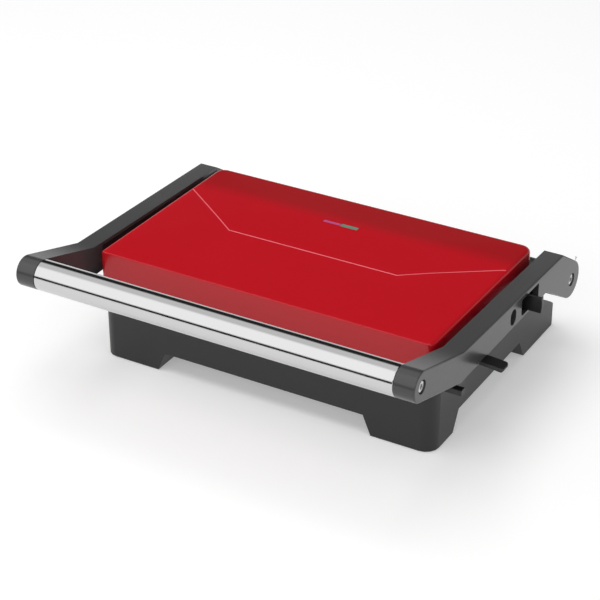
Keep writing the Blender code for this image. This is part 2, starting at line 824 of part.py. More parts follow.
def bottom_cover():
    """The steel sheet that closes the tub, with two rows of louvres."""
    side, front, rear = cover_limits()
    sheet = prism(
        rectangle(-side, side, front, rear, COVER_CORNER - FIT),
        "Z", COVER_LOW, COVER_LOW + COVER_THICKNESS,
    )
    high = COVER_LOW + COVER_THICKNESS + OVERRUN
    middle = (front + rear) / 2
    cuts = []
    for row in (-1, 1):
        for i in range(LOUVRE_COUNT):
            y = middle + (i - (LOUVRE_COUNT - 1) / 2) * LOUVRE_PITCH
            x = row * LOUVRE_APART
            slot = rectangle(
                x - LOUVRE_LENGTH / 2, x + LOUVRE_LENGTH / 2,
                y - LOUVRE_WIDTH / 2, y + LOUVRE_WIDTH / 2, LOUVRE_WIDTH / 3, 1,
            )
            cuts.append(prism(slot, "Z", COVER_LOW - OVERRUN, high))
    for spot in SCREW_PLACES:
        cuts.append(rod("Z", spot, COVER_LOW - OVERRUN, high, SCREW_RADIUS + FIT))
    return cut(sheet, *cuts)


def screw_reach():
    """Height of the base screws' points, inside the lower plate's bosses."""
    return DISH_Z - FLANGE_THICKNESS - FIT


def base_screw(spot):
    """A long screw up through the cover and a column into the lower plate."""
    top = COVER_LOW - FIT
    return turned(
        [
            (top - SCREW_HEAD_HEIGHT, SCREW_HEAD_RADIUS), (top, SCREW_HEAD_RADIUS),
            (top, SCREW_RADIUS), (screw_reach() - SCREW_POINT, SCREW_RADIUS),
            (screw_reach(), SCREW_RADIUS / 2),
        ],
        "Z", spot, SMALL_STEPS,
    )


def foot_pad(spot):
    """A rubber disc let into the foot."""
    return rod("Z", spot, 0, PAD_THICKNESS, PAD_RADIUS, ROUND_STEPS)


# Plates and heating

def heater_path():
    """Middle line of the lower heater, from one terminal round to the other."""
    side = HEATER_SIDE - HEATER_CORNER
    flat = (
        arc((side, HEATER_REAR - HEATER_CORNER), HEATER_CORNER, 90, 0, 5)
        + arc((side, HEATER_FRONT + HEATER_CORNER), HEATER_CORNER, 0, -90, 5)
    )
    bend = [
        (TERMINAL_APART + HEATER_BEND - a, HEATER_REAR, BODY_Z - HEATER_BEND + b)
        for a, b in arc((0, 0), HEATER_BEND, 0, 90, 4)
    ]
    half = [(TERMINAL_APART, HEATER_REAR, BODY_Z - TERMINAL_DROP)] + bend
    half += [(x, y, BODY_Z) for x, y in flat]
    return half + [(-x, y, z) for x, y, z in reversed(half)]


def heater():
    """The lower tubular heater."""
    return tube_along(heater_path(), HEATER_RADIUS)


def plate_outline(side, reach, corner):
    """A rounded plan about the plates' middle."""
    return rectangle(-side, side, PLATE_Y - reach, PLATE_Y + reach, corner)


def plate(spout):
    """The lower cooking plate: flange, dish, ribs, bosses and the heater's groove."""
    slab = prism(
        plate_outline(PLATE_HALF, PLATE_REACH, PLATE_CORNER),
        "Z", FLANGE_Z, FLANGE_Z + FLANGE_THICKNESS,
    )
    body = prism(plate_outline(BODY_HALF, BODY_REACH, BODY_CORNER), "Z", BODY_Z, CREST_Z)
    dish = prism(
        plate_outline(DISH_HALF, DISH_REACH, BODY_CORNER - RIM_WIDTH / 2),
        "Z", DISH_Z, CREST_Z + OVERRUN,
    )
    fuse(slab, body)
    bosses = [
        rod("Z", spot, BODY_Z - BOSS_HEIGHT, BODY_Z + BODY_DROP / 2, BOSS_RADIUS)
        for spot in SCREW_PLACES
    ]
    rib_reach = DISH_REACH - RIB_END
    ribs = prism(rib_comb(), "Y", PLATE_Y - rib_reach, PLATE_Y + rib_reach)
    cut(slab, dish)
    fuse(slab, ribs, *bosses)
    cuts = [tube_along(heater_path(), HEATER_RADIUS + FIT)]
    for spot in SCREW_PLACES:
        low = BODY_Z - BOSS_HEIGHT - OVERRUN
        cuts.append(rod("Z", spot, low, screw_reach() + FIT, SCREW_RADIUS + FIT))
    if spout:
        cuts.append(box(
            (-SPOUT_WIDTH / 2, SPOUT_WIDTH / 2),
            (PLATE_Y - PLATE_REACH - OVERRUN, PLATE_Y - DISH_REACH + RIM_WIDTH / 2),
            (FLANGE_Z + FLANGE_THICKNESS, CREST_Z + OVERRUN),
        ))
    return cut(slab, *cuts)


def rib_comb():
    """Section across all the ribs, rooted half the dish's rise into the plate."""
    root = DISH_Z - DISH_RISE / 2
    start = -RIB_PITCH * (RIB_COUNT - 1) / 2
    outline = [(start - RIB_FOOT / 2, root)]
    tops = []
    for i in range(RIB_COUNT):
        x = start + i * RIB_PITCH
        tops += [
            (x - RIB_FOOT / 2, DISH_Z), (x - RIB_CREST / 2, CREST_Z),
            (x + RIB_CREST / 2, CREST_Z), (x + RIB_FOOT / 2, DISH_Z),
        ]
    outline.append((-start + RIB_FOOT / 2, root))
    return outline + tops[::-1]


def reflector():
    """The thin pan behind a plate, with holes for the thermostat and the heater's ends."""
    top = BODY_Z - FIT
    low = top - PAN_DEPTH
    pan = prism(plate_outline(PAN_SIDE, PAN_REACH, PAN_CORNER), "Z", low, top)
    inner = plate_outline(PAN_SIDE - PAN_SHEET, PAN_REACH - PAN_SHEET, PAN_CORNER - PAN_SHEET)
    holes = [rod("Z", (0, PLATE_Y), low - OVERRUN, top, PAN_HOLE, ROUND_STEPS)]
    for side in (-1, 1):
        spot = (side * TERMINAL_APART, HEATER_REAR)
        holes.append(rod("Z", spot, low - OVERRUN, top, TERMINAL_HOLE, SMALL_STEPS))
    return cut(pan, prism(inner, "Z", low + PAN_SHEET, top + OVERRUN), *holes)


def thermostat():
    """A snap-action thermostat on the back of a plate, with two blades."""
    top = BODY_Z - FIT
    waist = top - SENSOR_HEIGHT
    low = waist - SENSOR_NECK_HEIGHT
    body = turned(
        [
            (low, SENSOR_NECK_RADIUS), (waist, SENSOR_NECK_RADIUS),
            (waist, SENSOR_RADIUS), (top, SENSOR_RADIUS),
        ],
        "Z", (0, PLATE_Y), ROUND_STEPS,
    )
    blades = []
    for side in (-1, 1):
        x = side * BLADE_APART
        blades.append(box(
            (x - BLADE_THICKNESS / 2, x + BLADE_THICKNESS / 2),
            (PLATE_Y - BLADE_WIDTH / 2, PLATE_Y + BLADE_WIDTH / 2),
            (low - BLADE_LENGTH, waist),
        ))
    return fuse(body, *blades)


def thermal_fuse():
    """The one-shot fuse under the lower plate."""
    centre = (PLATE_Y, BODY_Z - FIT - FUSE_RADIUS)
    return rod("X", centre, FUSE_SIDE, FUSE_SIDE + FUSE_LENGTH, FUSE_RADIUS)


def terminal_block():
    """The ceramic block on the tub's rear floor where the mains comes in."""
    rear = TUB_REAR - BASE_WALL - FIT
    low = FLOOR_TOP + FIT
    high = low + BLOCK_HEIGHT
    right = -GLAND_SIDE + BLOCK_WIDTH + BLOCK_WIDTH / 2
    left = right - BLOCK_WIDTH
    block = box((left, right), (rear - BLOCK_DEPTH, rear), (low, high))
    wells = []
    for i in range(BLOCK_WELLS):
        x = left + BLOCK_WIDTH * (i + 0.5) / BLOCK_WELLS
        spot = (x, rear - BLOCK_DEPTH / 2)
        wells.append(rod("Z", spot, high - BLOCK_WELL_DEPTH, high + OVERRUN, BLOCK_WELL_RADIUS))
    return cut(block, *wells)


def cord_gland():
    """The bushing in the tub's rear wall, with a flange on each side of it."""
    outside = TUB_REAR + FIT
    inside = TUB_REAR - BASE_WALL - FIT
    profile = [
        (inside - GLAND_FLANGE, GLAND_FLANGE_RADIUS), (inside, GLAND_FLANGE_RADIUS),
        (inside, GLAND_RADIUS), (outside, GLAND_RADIUS),
        (outside, GLAND_FLANGE_RADIUS), (outside + GLAND_FLANGE, GLAND_FLANGE_RADIUS),
        (outside + GLAND_FLANGE, GLAND_RADIUS),
        (outside + GLAND_FLANGE + GLAND_TAIL, GLAND_TAIL_RADIUS),
        (outside + GLAND_FLANGE + GLAND_TAIL, GLAND_BORE), (inside - GLAND_FLANGE, GLAND_BORE),
    ]
    return turned(profile, "Y", gland_centre(), SMALL_STEPS, closed=True)


# Hinge

def socket_screw(centre, shoulder_end, shoulder_radius, tip, thread_radius, recess_floor):
    """A screw along X whose head, with a round socket, lies in a recess of the arm."""
    head_low = recess_floor + FIT
    head_high = head_low + HEAD_THICKNESS
    edge = HEAD_THICKNESS / 4
    return turned(
        [
            (tip, thread_radius * 0.6), (tip + thread_radius / 2, thread_radius),
            (shoulder_end, thread_radius), (shoulder_end, shoulder_radius),
            (head_low, shoulder_radius), (head_low, HEAD_RADIUS),
            (head_high - edge, HEAD_RADIUS), (head_high, HEAD_RADIUS - edge),
            (head_high, SOCKET_RADIUS), (head_high - SOCKET_DEPTH, SOCKET_RADIUS),
        ],
        "X", centre, 16,
    )


def recess_floor():
    """Face in the arm's recess that a screw's head seats on."""
    return ARM_OUTER - RECESS_DEPTH


def hinge_screw():
    """The shoulder screw that an arm turns on, fixed in the tower's insert."""
    return socket_screw(
        (HINGE_Y, HINGE_Z), TOWER_OUTER + FIT, SHOULDER_RADIUS,
        TOWER_OUTER - TOWER_WIDTH + INSERT_SHORT * 2, SHOULDER_THREAD, recess_floor(),
    )


def hinge_insert():
    """The threaded brass bush in a tower."""
    low = TOWER_OUTER - TOWER_WIDTH + INSERT_SHORT
    high = TOWER_OUTER
    bore = SHOULDER_THREAD + FIT
    return turned(
        [(low, INSERT_RADIUS), (high, INSERT_RADIUS), (high, bore), (low, bore)],
        "X", (HINGE_Y, HINGE_Z), SMALL_STEPS, closed=True,
    )


def stop_cam():
    """The notched disc on the right hinge screw that the release finger rides on."""
    bore = SHOULDER_RADIUS + FIT
    low = ARM_INNER + ARM_COVER_THICKNESS + CAM_THICKNESS * 0.75
    high = low + CAM_THICKNESS
    disc = turned(
        [(low, CAM_RADIUS), (high, CAM_RADIUS), (high, bore), (low, bore)],
        "X", (HINGE_Y, HINGE_Z), ROUND_STEPS, closed=True,
    )
    notches = []
    for i in range(CAM_NOTCHES):
        angle = radians(30 + 90 * i / CAM_NOTCHES)
        spot = (HINGE_Y + CAM_RADIUS * cos(angle), HINGE_Z + CAM_RADIUS * sin(angle))
        notches.append(rod("X", spot, low - OVERRUN, high + OVERRUN, CAM_NOTCH, 8))
    return cut(disc, *notches)


# Arms and handle

def arm_outline():
    """Side view of an arm: round nose, bent top edge, round boss at the hinge."""
    nose = (HANDLE_Y, HANDLE_Z)
    boss = (HINGE_Y, HINGE_Z)
    bend = (LID_FRONT + ARM_BEND_BACK, LID_TOP - ARM_BEND_DROP)
    low_front = (LID_FRONT, ARM_LOW)
    low_rear = (HINGE_Y - ARM_BOTTOM_FORWARD, ARM_LOW)
    top_rear = (HINGE_Y - ARM_TOP_FORWARD, HINGE_Z + ARM_TOP_RISE)
    nose_top = tangent_angle(bend, nose, HANDLE_RADIUS, 1)
    nose_low = tangent_angle(low_front, nose, HANDLE_RADIUS, -1)
    boss_low = tangent_angle(low_rear, boss, ARM_BOSS_RADIUS, 1)
    boss_top = tangent_angle(top_rear, boss, ARM_BOSS_RADIUS, -1)
    return (
        arc(nose, HANDLE_RADIUS, nose_top % 360, nose_low % 360, 14)
        + [low_front, low_rear]
        + arc(boss, ARM_BOSS_RADIUS, boss_low % 360 - 360, boss_top % 360, 14)
        + [top_rear, bend]
    )


def pocket_outline(depth):
    """Side view of the arm's hollow, moved inwards by the depth."""
    start = LID_FRONT + POCKET_START + depth
    return clip_behind(inset(arm_outline(), ARM_RIM + depth), start)


def arm_body():
    """A plain right arm: shell, pocket, pin slot, and the two screw recesses."""
    arm = edged_prism(arm_outline(), "X", ARM_INNER, ARM_OUTER, ARM_EDGE_ROUND)
    outside = ARM_OUTER + OVERRUN
    oval_z = PIN_Z + FLOAT_TRAVEL / 2
    cuts = [
        prism(pocket_outline(0), "X", ARM_INNER - OVERRUN, POCKET_X),
        prism(stadium((PLATE_Y, oval_z), OVAL_WIDTH, OVAL_HEIGHT), "X", POCKET_X - FIT, outside),
    ]
    for spot, radius in (((HINGE_Y, HINGE_Z), SHOULDER_RADIUS + RUN),
                         ((HANDLE_Y, HANDLE_Z), HANDLE_SCREW_RADIUS + FIT)):
        cuts.append(rod("X", spot, ARM_INNER - OVERRUN, outside, radius, 16))
        cuts.append(rod("X", spot, recess_floor(), outside, RECESS_RADIUS, ROUND_STEPS))
    return cut(arm, *cuts)


def right_arm():
    """The right arm, with the latch's slot, the release window and the spring's stop."""
    arm = arm_body()
    slot_x = latch_stem_x()
    slot_y = (latch_stem_y()[0] - LATCH_TRAVEL - RUN, latch_stem_y()[1] + RUN)
    slot = box(
        (slot_x[0] - RUN, slot_x[1] + RUN), slot_y, (ARM_LOW - OVERRUN, SHELF_Z + OVERRUN)
    )
    front = PLATE_Y + WINDOW_FRONT
    window = rectangle(
        front, front + WINDOW_DEPTH, SHELF_Z, SHELF_Z + WINDOW_HEIGHT,
        (WINDOW_CORNER, WINDOW_CORNER / 3, WINDOW_CORNER / 3, WINDOW_CORNER / 3), 3,
    )
    cut(arm, slot, prism(window, "X", POCKET_X - OVERRUN, ARM_OUTER + OVERRUN))
    rib_rear = release_front() - FIT - SPRING_LENGTH - FIT
    rib = box(
        (ARM_INNER + ARM_COVER_THICKNESS + FIT, POCKET_X + FIT), (rib_rear - STOP_RIB, rib_rear),
        (SHELF_Z - ARM_RIM / 2, SHELF_Z + RELEASE_BODY_HEIGHT),
    )
    return fuse(arm, rib)


def arm_cover():
    """The plate in a right arm's mouth, with the hinge hub and the pin's guide slot."""
    plate_x = (ARM_INNER, ARM_INNER + ARM_COVER_THICKNESS)
    cover = prism(pocket_outline(FIT), "X", *plate_x)
    hub = rod("X", (HINGE_Y, HINGE_Z), TOWER_OUTER + FIT, plate_x[0] + ARM_COVER_THICKNESS / 2,
              HUB_RADIUS, ROUND_STEPS)
    fuse(cover, hub)
    width = 2 * (PIN_RADIUS + RUN)
    slot = stadium((PLATE_Y, PIN_Z + FLOAT_TRAVEL / 2), width, width + FLOAT_TRAVEL)
    bore = rod("X", (HINGE_Y, HINGE_Z), TOWER_OUTER - OVERRUN, plate_x[1] + OVERRUN,
               SHOULDER_RADIUS + RUN, 16)
    return cut(cover, prism(slot, "X", plate_x[0] - OVERRUN, plate_x[1] + OVERRUN), bore)


def handle_tube():
    """The steel tube between the arms' noses."""
    end = ARM_INNER - FIT
    inner = HANDLE_RADIUS - HANDLE_WALL
    return turned(
        [(-end, HANDLE_RADIUS), (end, HANDLE_RADIUS), (end, inner), (-end, inner)],
        "X", (HANDLE_Y, HANDLE_Z), 32, closed=True,
    )


def handle_plug():
    """The plastic plug in the tube's right end."""
    high = ARM_INNER - FIT
    low = high - PLUG_LENGTH
    outer = HANDLE_RADIUS - HANDLE_WALL - FIT
    bore = HANDLE_SCREW_RADIUS + FIT
    return turned(
        [(low, outer), (high, outer), (high, bore), (low, bore)],
        "X", (HANDLE_Y, HANDLE_Z), ROUND_STEPS, closed=True,
    )


def handle_screw():
    """The screw through a nose into the tube's plug."""
    return socket_screw(
        (HANDLE_Y, HANDLE_Z), recess_floor(), HANDLE_SCREW_RADIUS,
        recess_floor() - HANDLE_SCREW_LENGTH, HANDLE_SCREW_RADIUS, recess_floor(),
    )


# Lid

def lid_outline(depth=0):
    """Plan of the lid, moved inwards by the depth."""
    side = LID_HALF - depth
    front = max(LID_FRONT_CORNER - depth, 0)
    rear = LID_REAR_CORNER - depth
    return rectangle(-side, side, LID_FRONT + depth, LID_REAR - depth, (front, front, rear, rear))


def facets():
    """The three sloping facets: a point on each one's plateau edge, and its slope outwards."""
    corner = Vector((LID_HALF, LID_FRONT))
    rear = Vector((LID_HALF * PLATEAU_SIDE_SHARE, LID_FRONT + LID_DEPTH * PLATEAU_REAR_SHARE))
    along = (rear - corner).normalized()
    outward = Vector((along.y, -along.x))
    far = Vector((LID_HALF, LID_REAR))
    side_slope = FACET_DROP / (far - corner).dot(outward)
    rear_slope = FACET_DROP / (LID_REAR - rear.y)
    return [
        (rear, outward, side_slope),
        (Vector((-rear.x, rear.y)), Vector((-outward.x, outward.y)), side_slope),
        (rear, Vector((0, 1)), rear_slope),
    ]


def lid_height(x, y):
    """Height of the lid's top surface."""
    drops = [max((Vector((x, y)) - edge).dot(out), 0) * slope for edge, out, slope in facets()]
    return LID_TOP - max(drops)


def lid_block(depth, low, edge_round):
    """The lid's faceted outer form, moved inwards and down by the depth."""
    solid = prism(lid_outline(depth), "Z", low, LID_TOP - depth)
    mesh = bmesh.new()
    mesh.from_mesh(solid.data)
    for edge, out, slope in facets():
        parts = mesh.verts[:] + mesh.edges[:] + mesh.faces[:]
        bmesh.ops.bisect_plane(
            mesh, geom=parts, dist=FIT / 1000, clear_outer=True,
            plane_co=(edge.x, edge.y, LID_TOP - depth), plane_no=(out.x * slope, out.y * slope, 1),
        )
        bmesh.ops.holes_fill(mesh, edges=[e for e in mesh.edges if e.is_boundary], sides=0)
    if edge_round > 0:
        bmesh.ops.recalc_face_normals(mesh, faces=mesh.faces)
        bmesh.ops.bevel(
            mesh, geom=[e for e in mesh.edges if is_top_rim(e)], offset=edge_round, segments=3,
            profile=0.5, affect="EDGES", clamp_overlap=True,
        )
    bmesh.ops.remove_doubles(mesh, verts=mesh.verts, dist=FIT / 100)
    bpy.data.objects.remove(solid)
    return as_object(mesh)


def is_top_rim(edge):
    """Whether an edge joins the top to a side or the rear, but not to the front."""
    normals = [face.normal for face in edge.link_faces]
    up = [n for n in normals if n.z > 0.9]
    wall = [n for n in normals if abs(n.z) < 0.1 and n.y > -0.8]
    return len(up) == 1 and len(wall) == 1


def crease():
    """Cutter for the thin groove across the lid's top."""
    side = LID_HALF + OVERRUN
    inner = LID_HALF * CREASE_SIDE_SHARE
    front = LID_FRONT + LID_DEPTH * CREASE_FRONT_SHARE
    rear = LID_FRONT + LID_DEPTH * CREASE_REAR_SHARE
    slope = (rear - front) / (LID_HALF - inner)
    bend = Vector((inner, front))
    end = Vector((side, front + slope * (side - inner)))
    edge, out, _ = facets()[0]
    ahead = (edge - bend).dot(out)
    crossing = bend.lerp(end, ahead / (end - bend).dot(out))
    right = [bend, crossing, end]
    plan = [Vector((-p.x, p.y)) for p in reversed(right)] + right
    spread = CREASE_WIDTH / 2 * (CREASE_DEPTH + OVERRUN) / CREASE_DEPTH
    section = [(0, -CREASE_DEPTH), (spread, OVERRUN), (-spread, OVERRUN)]
    rings = []
    for i, spot in enumerate(plan):
        into = (spot - plan[i - 1] if i else plan[1] - spot).normalized()
        onward = (plan[i + 1] - spot).normalized() if i < len(plan) - 1 else into
        across = Vector((-into.y - onward.y, into.x + onward.x)).normalized()
        across = across / across.dot(Vector((-into.y, into.x)))
        z = lid_height(*spot)
        rings.append([
            (spot.x + across.x * offset, spot.y + across.y * offset, z + rise)
            for offset, rise in section
        ])
    return loft(rings)


def lens_places():
    """The two lenses: name, left and right edge, and width along Y."""
    split = -POWER_RIGHT
    return (
        ("power_lens", -POWER_LEFT, split, POWER_WIDTH),
        ("ready_lens", split + LENS_APART, READY_RIGHT, READY_WIDTH),
    )


def lid_cover():
    """The painted shell: facets, crease, slot for the lenses, pin notches and board posts."""
    shell = lid_block(0, COVER_Z, LID_EDGE_ROUND)
    hollow = lid_block(LID_WALL, COVER_Z - OVERRUN, LID_EDGE_ROUND - LID_WALL / 2)
    cut(shell, hollow)
    cuts = [crease()]
    for _, left, right, width in lens_places():
        cuts.append(box(
            (left - FIT, right + FIT), (LIGHT_Y - width / 2 - FIT, LIGHT_Y + width / 2 + FIT),
            (LID_TOP - LID_WALL - OVERRUN, LID_TOP + OVERRUN),
        ))
    radius = PIN_RADIUS + RUN
    notch = [(PLATE_Y - radius, COVER_Z - OVERRUN), (PLATE_Y + radius, COVER_Z - OVERRUN)]
    notch += arc((PLATE_Y, PIN_Z), radius, 0, 180, 8)
    wide = LID_HALF + OVERRUN
    cuts.append(prism(notch, "X", LID_HALF - LID_WALL - OVERRUN, wide))
    cuts.append(prism(notch, "X", -wide, -LID_HALF + LID_WALL + OVERRUN))
    cut(shell, *cuts)
    posts = [
        rod("Z", (side * POST_SIDE, LIGHT_Y), board_top() + FIT, LID_TOP - LID_WALL / 2, POST_RADIUS)
        for side in (-1, 1)
    ]
    return fuse(shell, *posts)


def lip_low():
    """Lower face of the lenses' lips, inside the cover."""
    return LID_TOP - LID_WALL - FIT - LENS_LIP_THICKNESS


def board_top():
    """Upper face of the lamp board."""
    return lip_low() - FIT - 2 * LAMP_RADIUS - FIT


def lens(left, right, width):
    """A light bar: a block through the cover with a lip under it."""
    half = width / 2
    body = box((left, right), (LIGHT_Y - half, LIGHT_Y + half), (lip_low(), LID_TOP))
    outer_left = left - LENS_LIP if left < -POWER_RIGHT else left
    outer_right = right + LENS_LIP if right > 0 else right
    lip = box(
        (outer_left, outer_right), (LIGHT_Y - half - LENS_LIP, LIGHT_Y + half + LENS_LIP),
        (lip_low(), lip_low() + LENS_LIP_THICKNESS),
    )
    return fuse(body, lip)


def lamp(left, right):
    """A small neon lamp under a lens, lying on the board."""
    middle = (left + right) / 2
    half = LAMP_LENGTH / 2
    centre = (LIGHT_Y, board_top() + FIT + LAMP_RADIUS)
    return turned(
        [
            (middle - half, LAMP_RADIUS / 3), (middle - half * 0.75, LAMP_RADIUS),
            (middle + half * 0.75, LAMP_RADIUS), (middle + half, LAMP_RADIUS / 3),
        ],
        "X", centre, SMALL_STEPS,
    )


def lamp_board():
    """The little circuit board that carries the lamps."""
    half = BOARD_WIDTH / 2
    deep = BOARD_DEPTH / 2
    outline = rectangle(-half, half, LIGHT_Y - deep, LIGHT_Y + deep, BOARD_THICKNESS, 2)
    return prism(outline, "Z", board_top() - BOARD_THICKNESS, board_top())


def lid_frame():
    """The black ring under the shell: upstand, screw tabs and pivot bosses."""
    low = FRAME_Z
    ring = prism(lid_outline(FRAME_INSET), "Z", low, low + FRAME_THICKNESS)
    upstand_out = LID_WALL + FIT
    upstand = prism(lid_outline(upstand_out), "Z", low, low + UPSTAND_HEIGHT)
    hollow = prism(
        lid_outline(upstand_out + UPSTAND_THICKNESS), "Z",
        low + FRAME_THICKNESS, low + UPSTAND_HEIGHT + OVERRUN,
    )
    side = BODY_HALF + FRAME_GAP
    opening = prism(
        plate_outline(side, BODY_REACH + FRAME_GAP, BODY_CORNER),
        "Z", low - OVERRUN, low + FRAME_THICKNESS + OVERRUN,
    )
    cut(fuse(ring, upstand), hollow, opening)

    tab_z = tab_low()
    wall = LID_HALF - upstand_out - UPSTAND_THICKNESS / 2
    tabs = []
    for x, y in SCREW_PLACES:
        outline = [(wall, y + TAB_RADIUS)]
        outline += arc((SCREW_SIDE, y), TAB_RADIUS, 90, 270, 8) + [(wall, y - TAB_RADIUS)]
        tab = prism(outline, "Z", tab_z, tab_z + TAB_THICKNESS)
        tabs.append(tab if x > 0 else to_left(tab))
    boss = [(PLATE_Y - PIN_BOSS_RADIUS, low), (PLATE_Y + PIN_BOSS_RADIUS, low)]
    boss += arc((PLATE_Y, PIN_Z), PIN_BOSS_RADIUS, 0, 180, 10)
    outer = LID_HALF - upstand_out
    bosses = [prism(boss, "X", side, outer), to_left(prism(boss, "X", side, outer))]
    fuse(ring, *tabs, *bosses)

    bore = PIN_RADIUS + RUN
    wide = LID_HALF + OVERRUN
    cuts = [rod("X", (PLATE_Y, PIN_Z), side - OVERRUN, wide, bore, 16),
            rod("X", (PLATE_Y, PIN_Z), -wide, -side + OVERRUN, bore, 16)]
    for spot in SCREW_PLACES:
        high = tab_z + TAB_THICKNESS + OVERRUN
        cuts.append(rod("Z", spot, tab_z - OVERRUN, high, SCREW_RADIUS + FIT))
    return cut(ring, *cuts)


def tab_low():
    """Lower face of the frame's tabs, on the upper plate's bosses."""
    return 2 * MATE_Z - (BODY_Z - BOSS_HEIGHT) + FIT


def lid_screw(spot):
    """A short screw down through a tab into the upper plate."""
    low = tab_low() + TAB_THICKNESS + FIT
    tip = 2 * MATE_Z - screw_reach()
    return turned(
        [
            (tip, SCREW_RADIUS / 2), (tip + SCREW_POINT, SCREW_RADIUS), (low, SCREW_RADIUS),
            (low, SCREW_HEAD_RADIUS), (low + SCREW_HEAD_HEIGHT, SCREW_HEAD_RADIUS),
        ],
        "Z", spot, SMALL_STEPS,
    )


def float_pin():
    """The right pin that carries the lid: in the frame's boss, a collar, and out in the arm."""
    start = LID_HALF - LID_WALL - FIT - PIN_IN_FRAME
    collar = (LID_HALF + RUN, ARM_INNER - FIT)
    return turned(
        [
            (start, PIN_RADIUS), (collar[0], PIN_RADIUS), (collar[0], PIN_COLLAR),
            (collar[1], PIN_COLLAR), (collar[1], PIN_RADIUS), (ARM_OUTER - PIN_END, PIN_RADIUS),
        ],
        "X", (PLATE_Y, PIN_Z), 16,
    )


# Latch and release

def latch_stem_x():
    """Side limits of the latch's stem, through the arm's lower wall."""
    middle = (ARM_INNER + ARM_COVER_THICKNESS + POCKET_X) / 2
    return middle - LATCH_STEM_WIDTH / 2, middle + LATCH_STEM_WIDTH / 2


def latch_stem_y():
    """Front and rear of the latch's stem at rest."""
    middle = LID_FRONT + LATCH_REAR - LATCH_DEPTH / 2
    return middle - LATCH_STEM_DEPTH / 2, middle + LATCH_STEM_DEPTH / 2


def latch_slider():
    """The tab under the right arm, with its stem, head, leg and toe."""
    rear = LID_FRONT + LATCH_REAR
    front = rear - LATCH_DEPTH
    top = ARM_LOW - RUN
    low = top - LATCH_THICKNESS
    inner = BASE_HALF + LEG_FROM_BASE
    tip = REACH_SIDE
    side_view = [
        (inner, low), (ARM_OUTER, low),
        (tip - LATCH_TIP / 3, top - LATCH_DROOP - LATCH_TIP),
        (tip, top - LATCH_DROOP - LATCH_TIP * 2 / 3),
        (tip, top - LATCH_DROOP - LATCH_TIP / 4), (tip - LATCH_TIP / 3, top - LATCH_DROOP),
        (ARM_OUTER, top), (inner, top),
    ]
    tab = prism(side_view, "Y", front, rear)
    plan = rectangle(
        inner - OVERRUN, tip, front, rear, (0, LATCH_CORNER, LATCH_CORNER, 0)
    )
    common(tab, prism(plan, "Z", low - LATCH_TIP - OVERRUN, top + OVERRUN))

    stem = box(latch_stem_x(), latch_stem_y(), (top - LATCH_THICKNESS / 2, SHELF_Z + RUN + FIT))
    middle = sum(latch_stem_x()) / 2
    head = box(
        (middle - LATCH_HEAD_WIDTH / 2, middle + LATCH_HEAD_WIDTH / 2), latch_stem_y(),
        (SHELF_Z + RUN, SHELF_Z + RUN + LATCH_HEAD_THICKNESS),
    )
    toe_top = peg_low() - TOE_BELOW_PEG
    toe_low = toe_top - TOE_HEIGHT
    toe_front = front - TOE_DEPTH
    leg_view = [
        (toe_front, toe_low), (front + LEG_DEPTH, toe_low), (front + LEG_DEPTH, top - FIT),
        (front, top - FIT), (front, toe_top), (toe_front, toe_top),
    ]
    leg = prism(leg_view, "X", inner, inner + LEG_THICKNESS)
    return fuse(tab, stem, head, leg)


def release_tab_y():
    """Front face of the release tab at rest."""
    return PLATE_Y + WINDOW_FRONT + RELEASE_TRAVEL + RELEASE_BACK


def release_front():
    """Front face of the release slider's body."""
    return release_tab_y() - RELEASE_FRONT


def release_slider():
    """The thumb tab in the right arm's window, with its tongue and finger behind."""
    x_low = ARM_INNER + ARM_COVER_THICKNESS + RUN
    x_high = POCKET_X - RUN
    low = SHELF_Z + RUN
    front = release_front()
    rear = front + RELEASE_BODY_DEPTH
    body = box((x_low, x_high), (front, rear), (low, low + RELEASE_BODY_HEIGHT))

    tab_y = release_tab_y()
    tab_high = SHELF_Z + WINDOW_HEIGHT - RUN
    height = tab_high - low
    steps = 6
    shares = [i / steps for i in range(steps + 1)]
    near = [(tab_y + RELEASE_BULGE * sin(pi * s), low + height * s) for s in shares]
    far = [(y + RELEASE_TAB * (0.7 + 0.3 * sin(pi * s)), z) for s, (y, z) in zip(shares, near)]
    tab = prism(near + far[::-1], "X", x_high - OVERRUN, ARM_OUTER + RELEASE_REACH)

    middle = (x_low + x_high) / 2
    tongue_x = (middle - TONGUE_WIDTH / 2, middle + TONGUE_WIDTH / 2)
    finger_y = HINGE_Y - FINGER_BEFORE_HINGE
    tongue_z = low + TONGUE_HEIGHT
    finger_low = HINGE_Z + FINGER_RISE
    toe = HINGE_Y - CAM_RADIUS - FIT
    tongue_view = [
        (rear - TONGUE_HEIGHT, tongue_z), (finger_y - FINGER_DEPTH, tongue_z),
        (finger_y - FINGER_DEPTH, finger_low), (toe, finger_low),
        (toe, finger_low + TONGUE_HEIGHT), (finger_y, finger_low + TONGUE_HEIGHT),
        (finger_y, tongue_z + TONGUE_HEIGHT), (rear - TONGUE_HEIGHT, tongue_z + TONGUE_HEIGHT),
    ]
    return fuse(body, tab, prism(tongue_view, "X", *tongue_x))


def release_spring():
    """The coil spring that pushes the release slider back."""
    x = (ARM_INNER + ARM_COVER_THICKNESS + POCKET_X) / 2
    z = SHELF_Z + RUN + RELEASE_BODY_HEIGHT / 2
    rear = release_front() - FIT - SPRING_WIRE
    length = SPRING_LENGTH - 2 * SPRING_WIRE
    count = SPRING_TURNS * SPRING_STEPS
    path = []
    for i in range(count + 1):
        angle = 2 * pi * i / SPRING_STEPS
        y = rear - length * i / count
        path.append((x + SPRING_RADIUS * cos(angle), y, z + SPRING_RADIUS * sin(angle)))
    gap = least_gap(path, SPRING_WIRE, SPRING_STEPS // 2)
    print("release_spring: least gap to itself, in metres:", round(gap, 5))
    return tube_along(path, SPRING_WIRE, 6)


# The whole grill

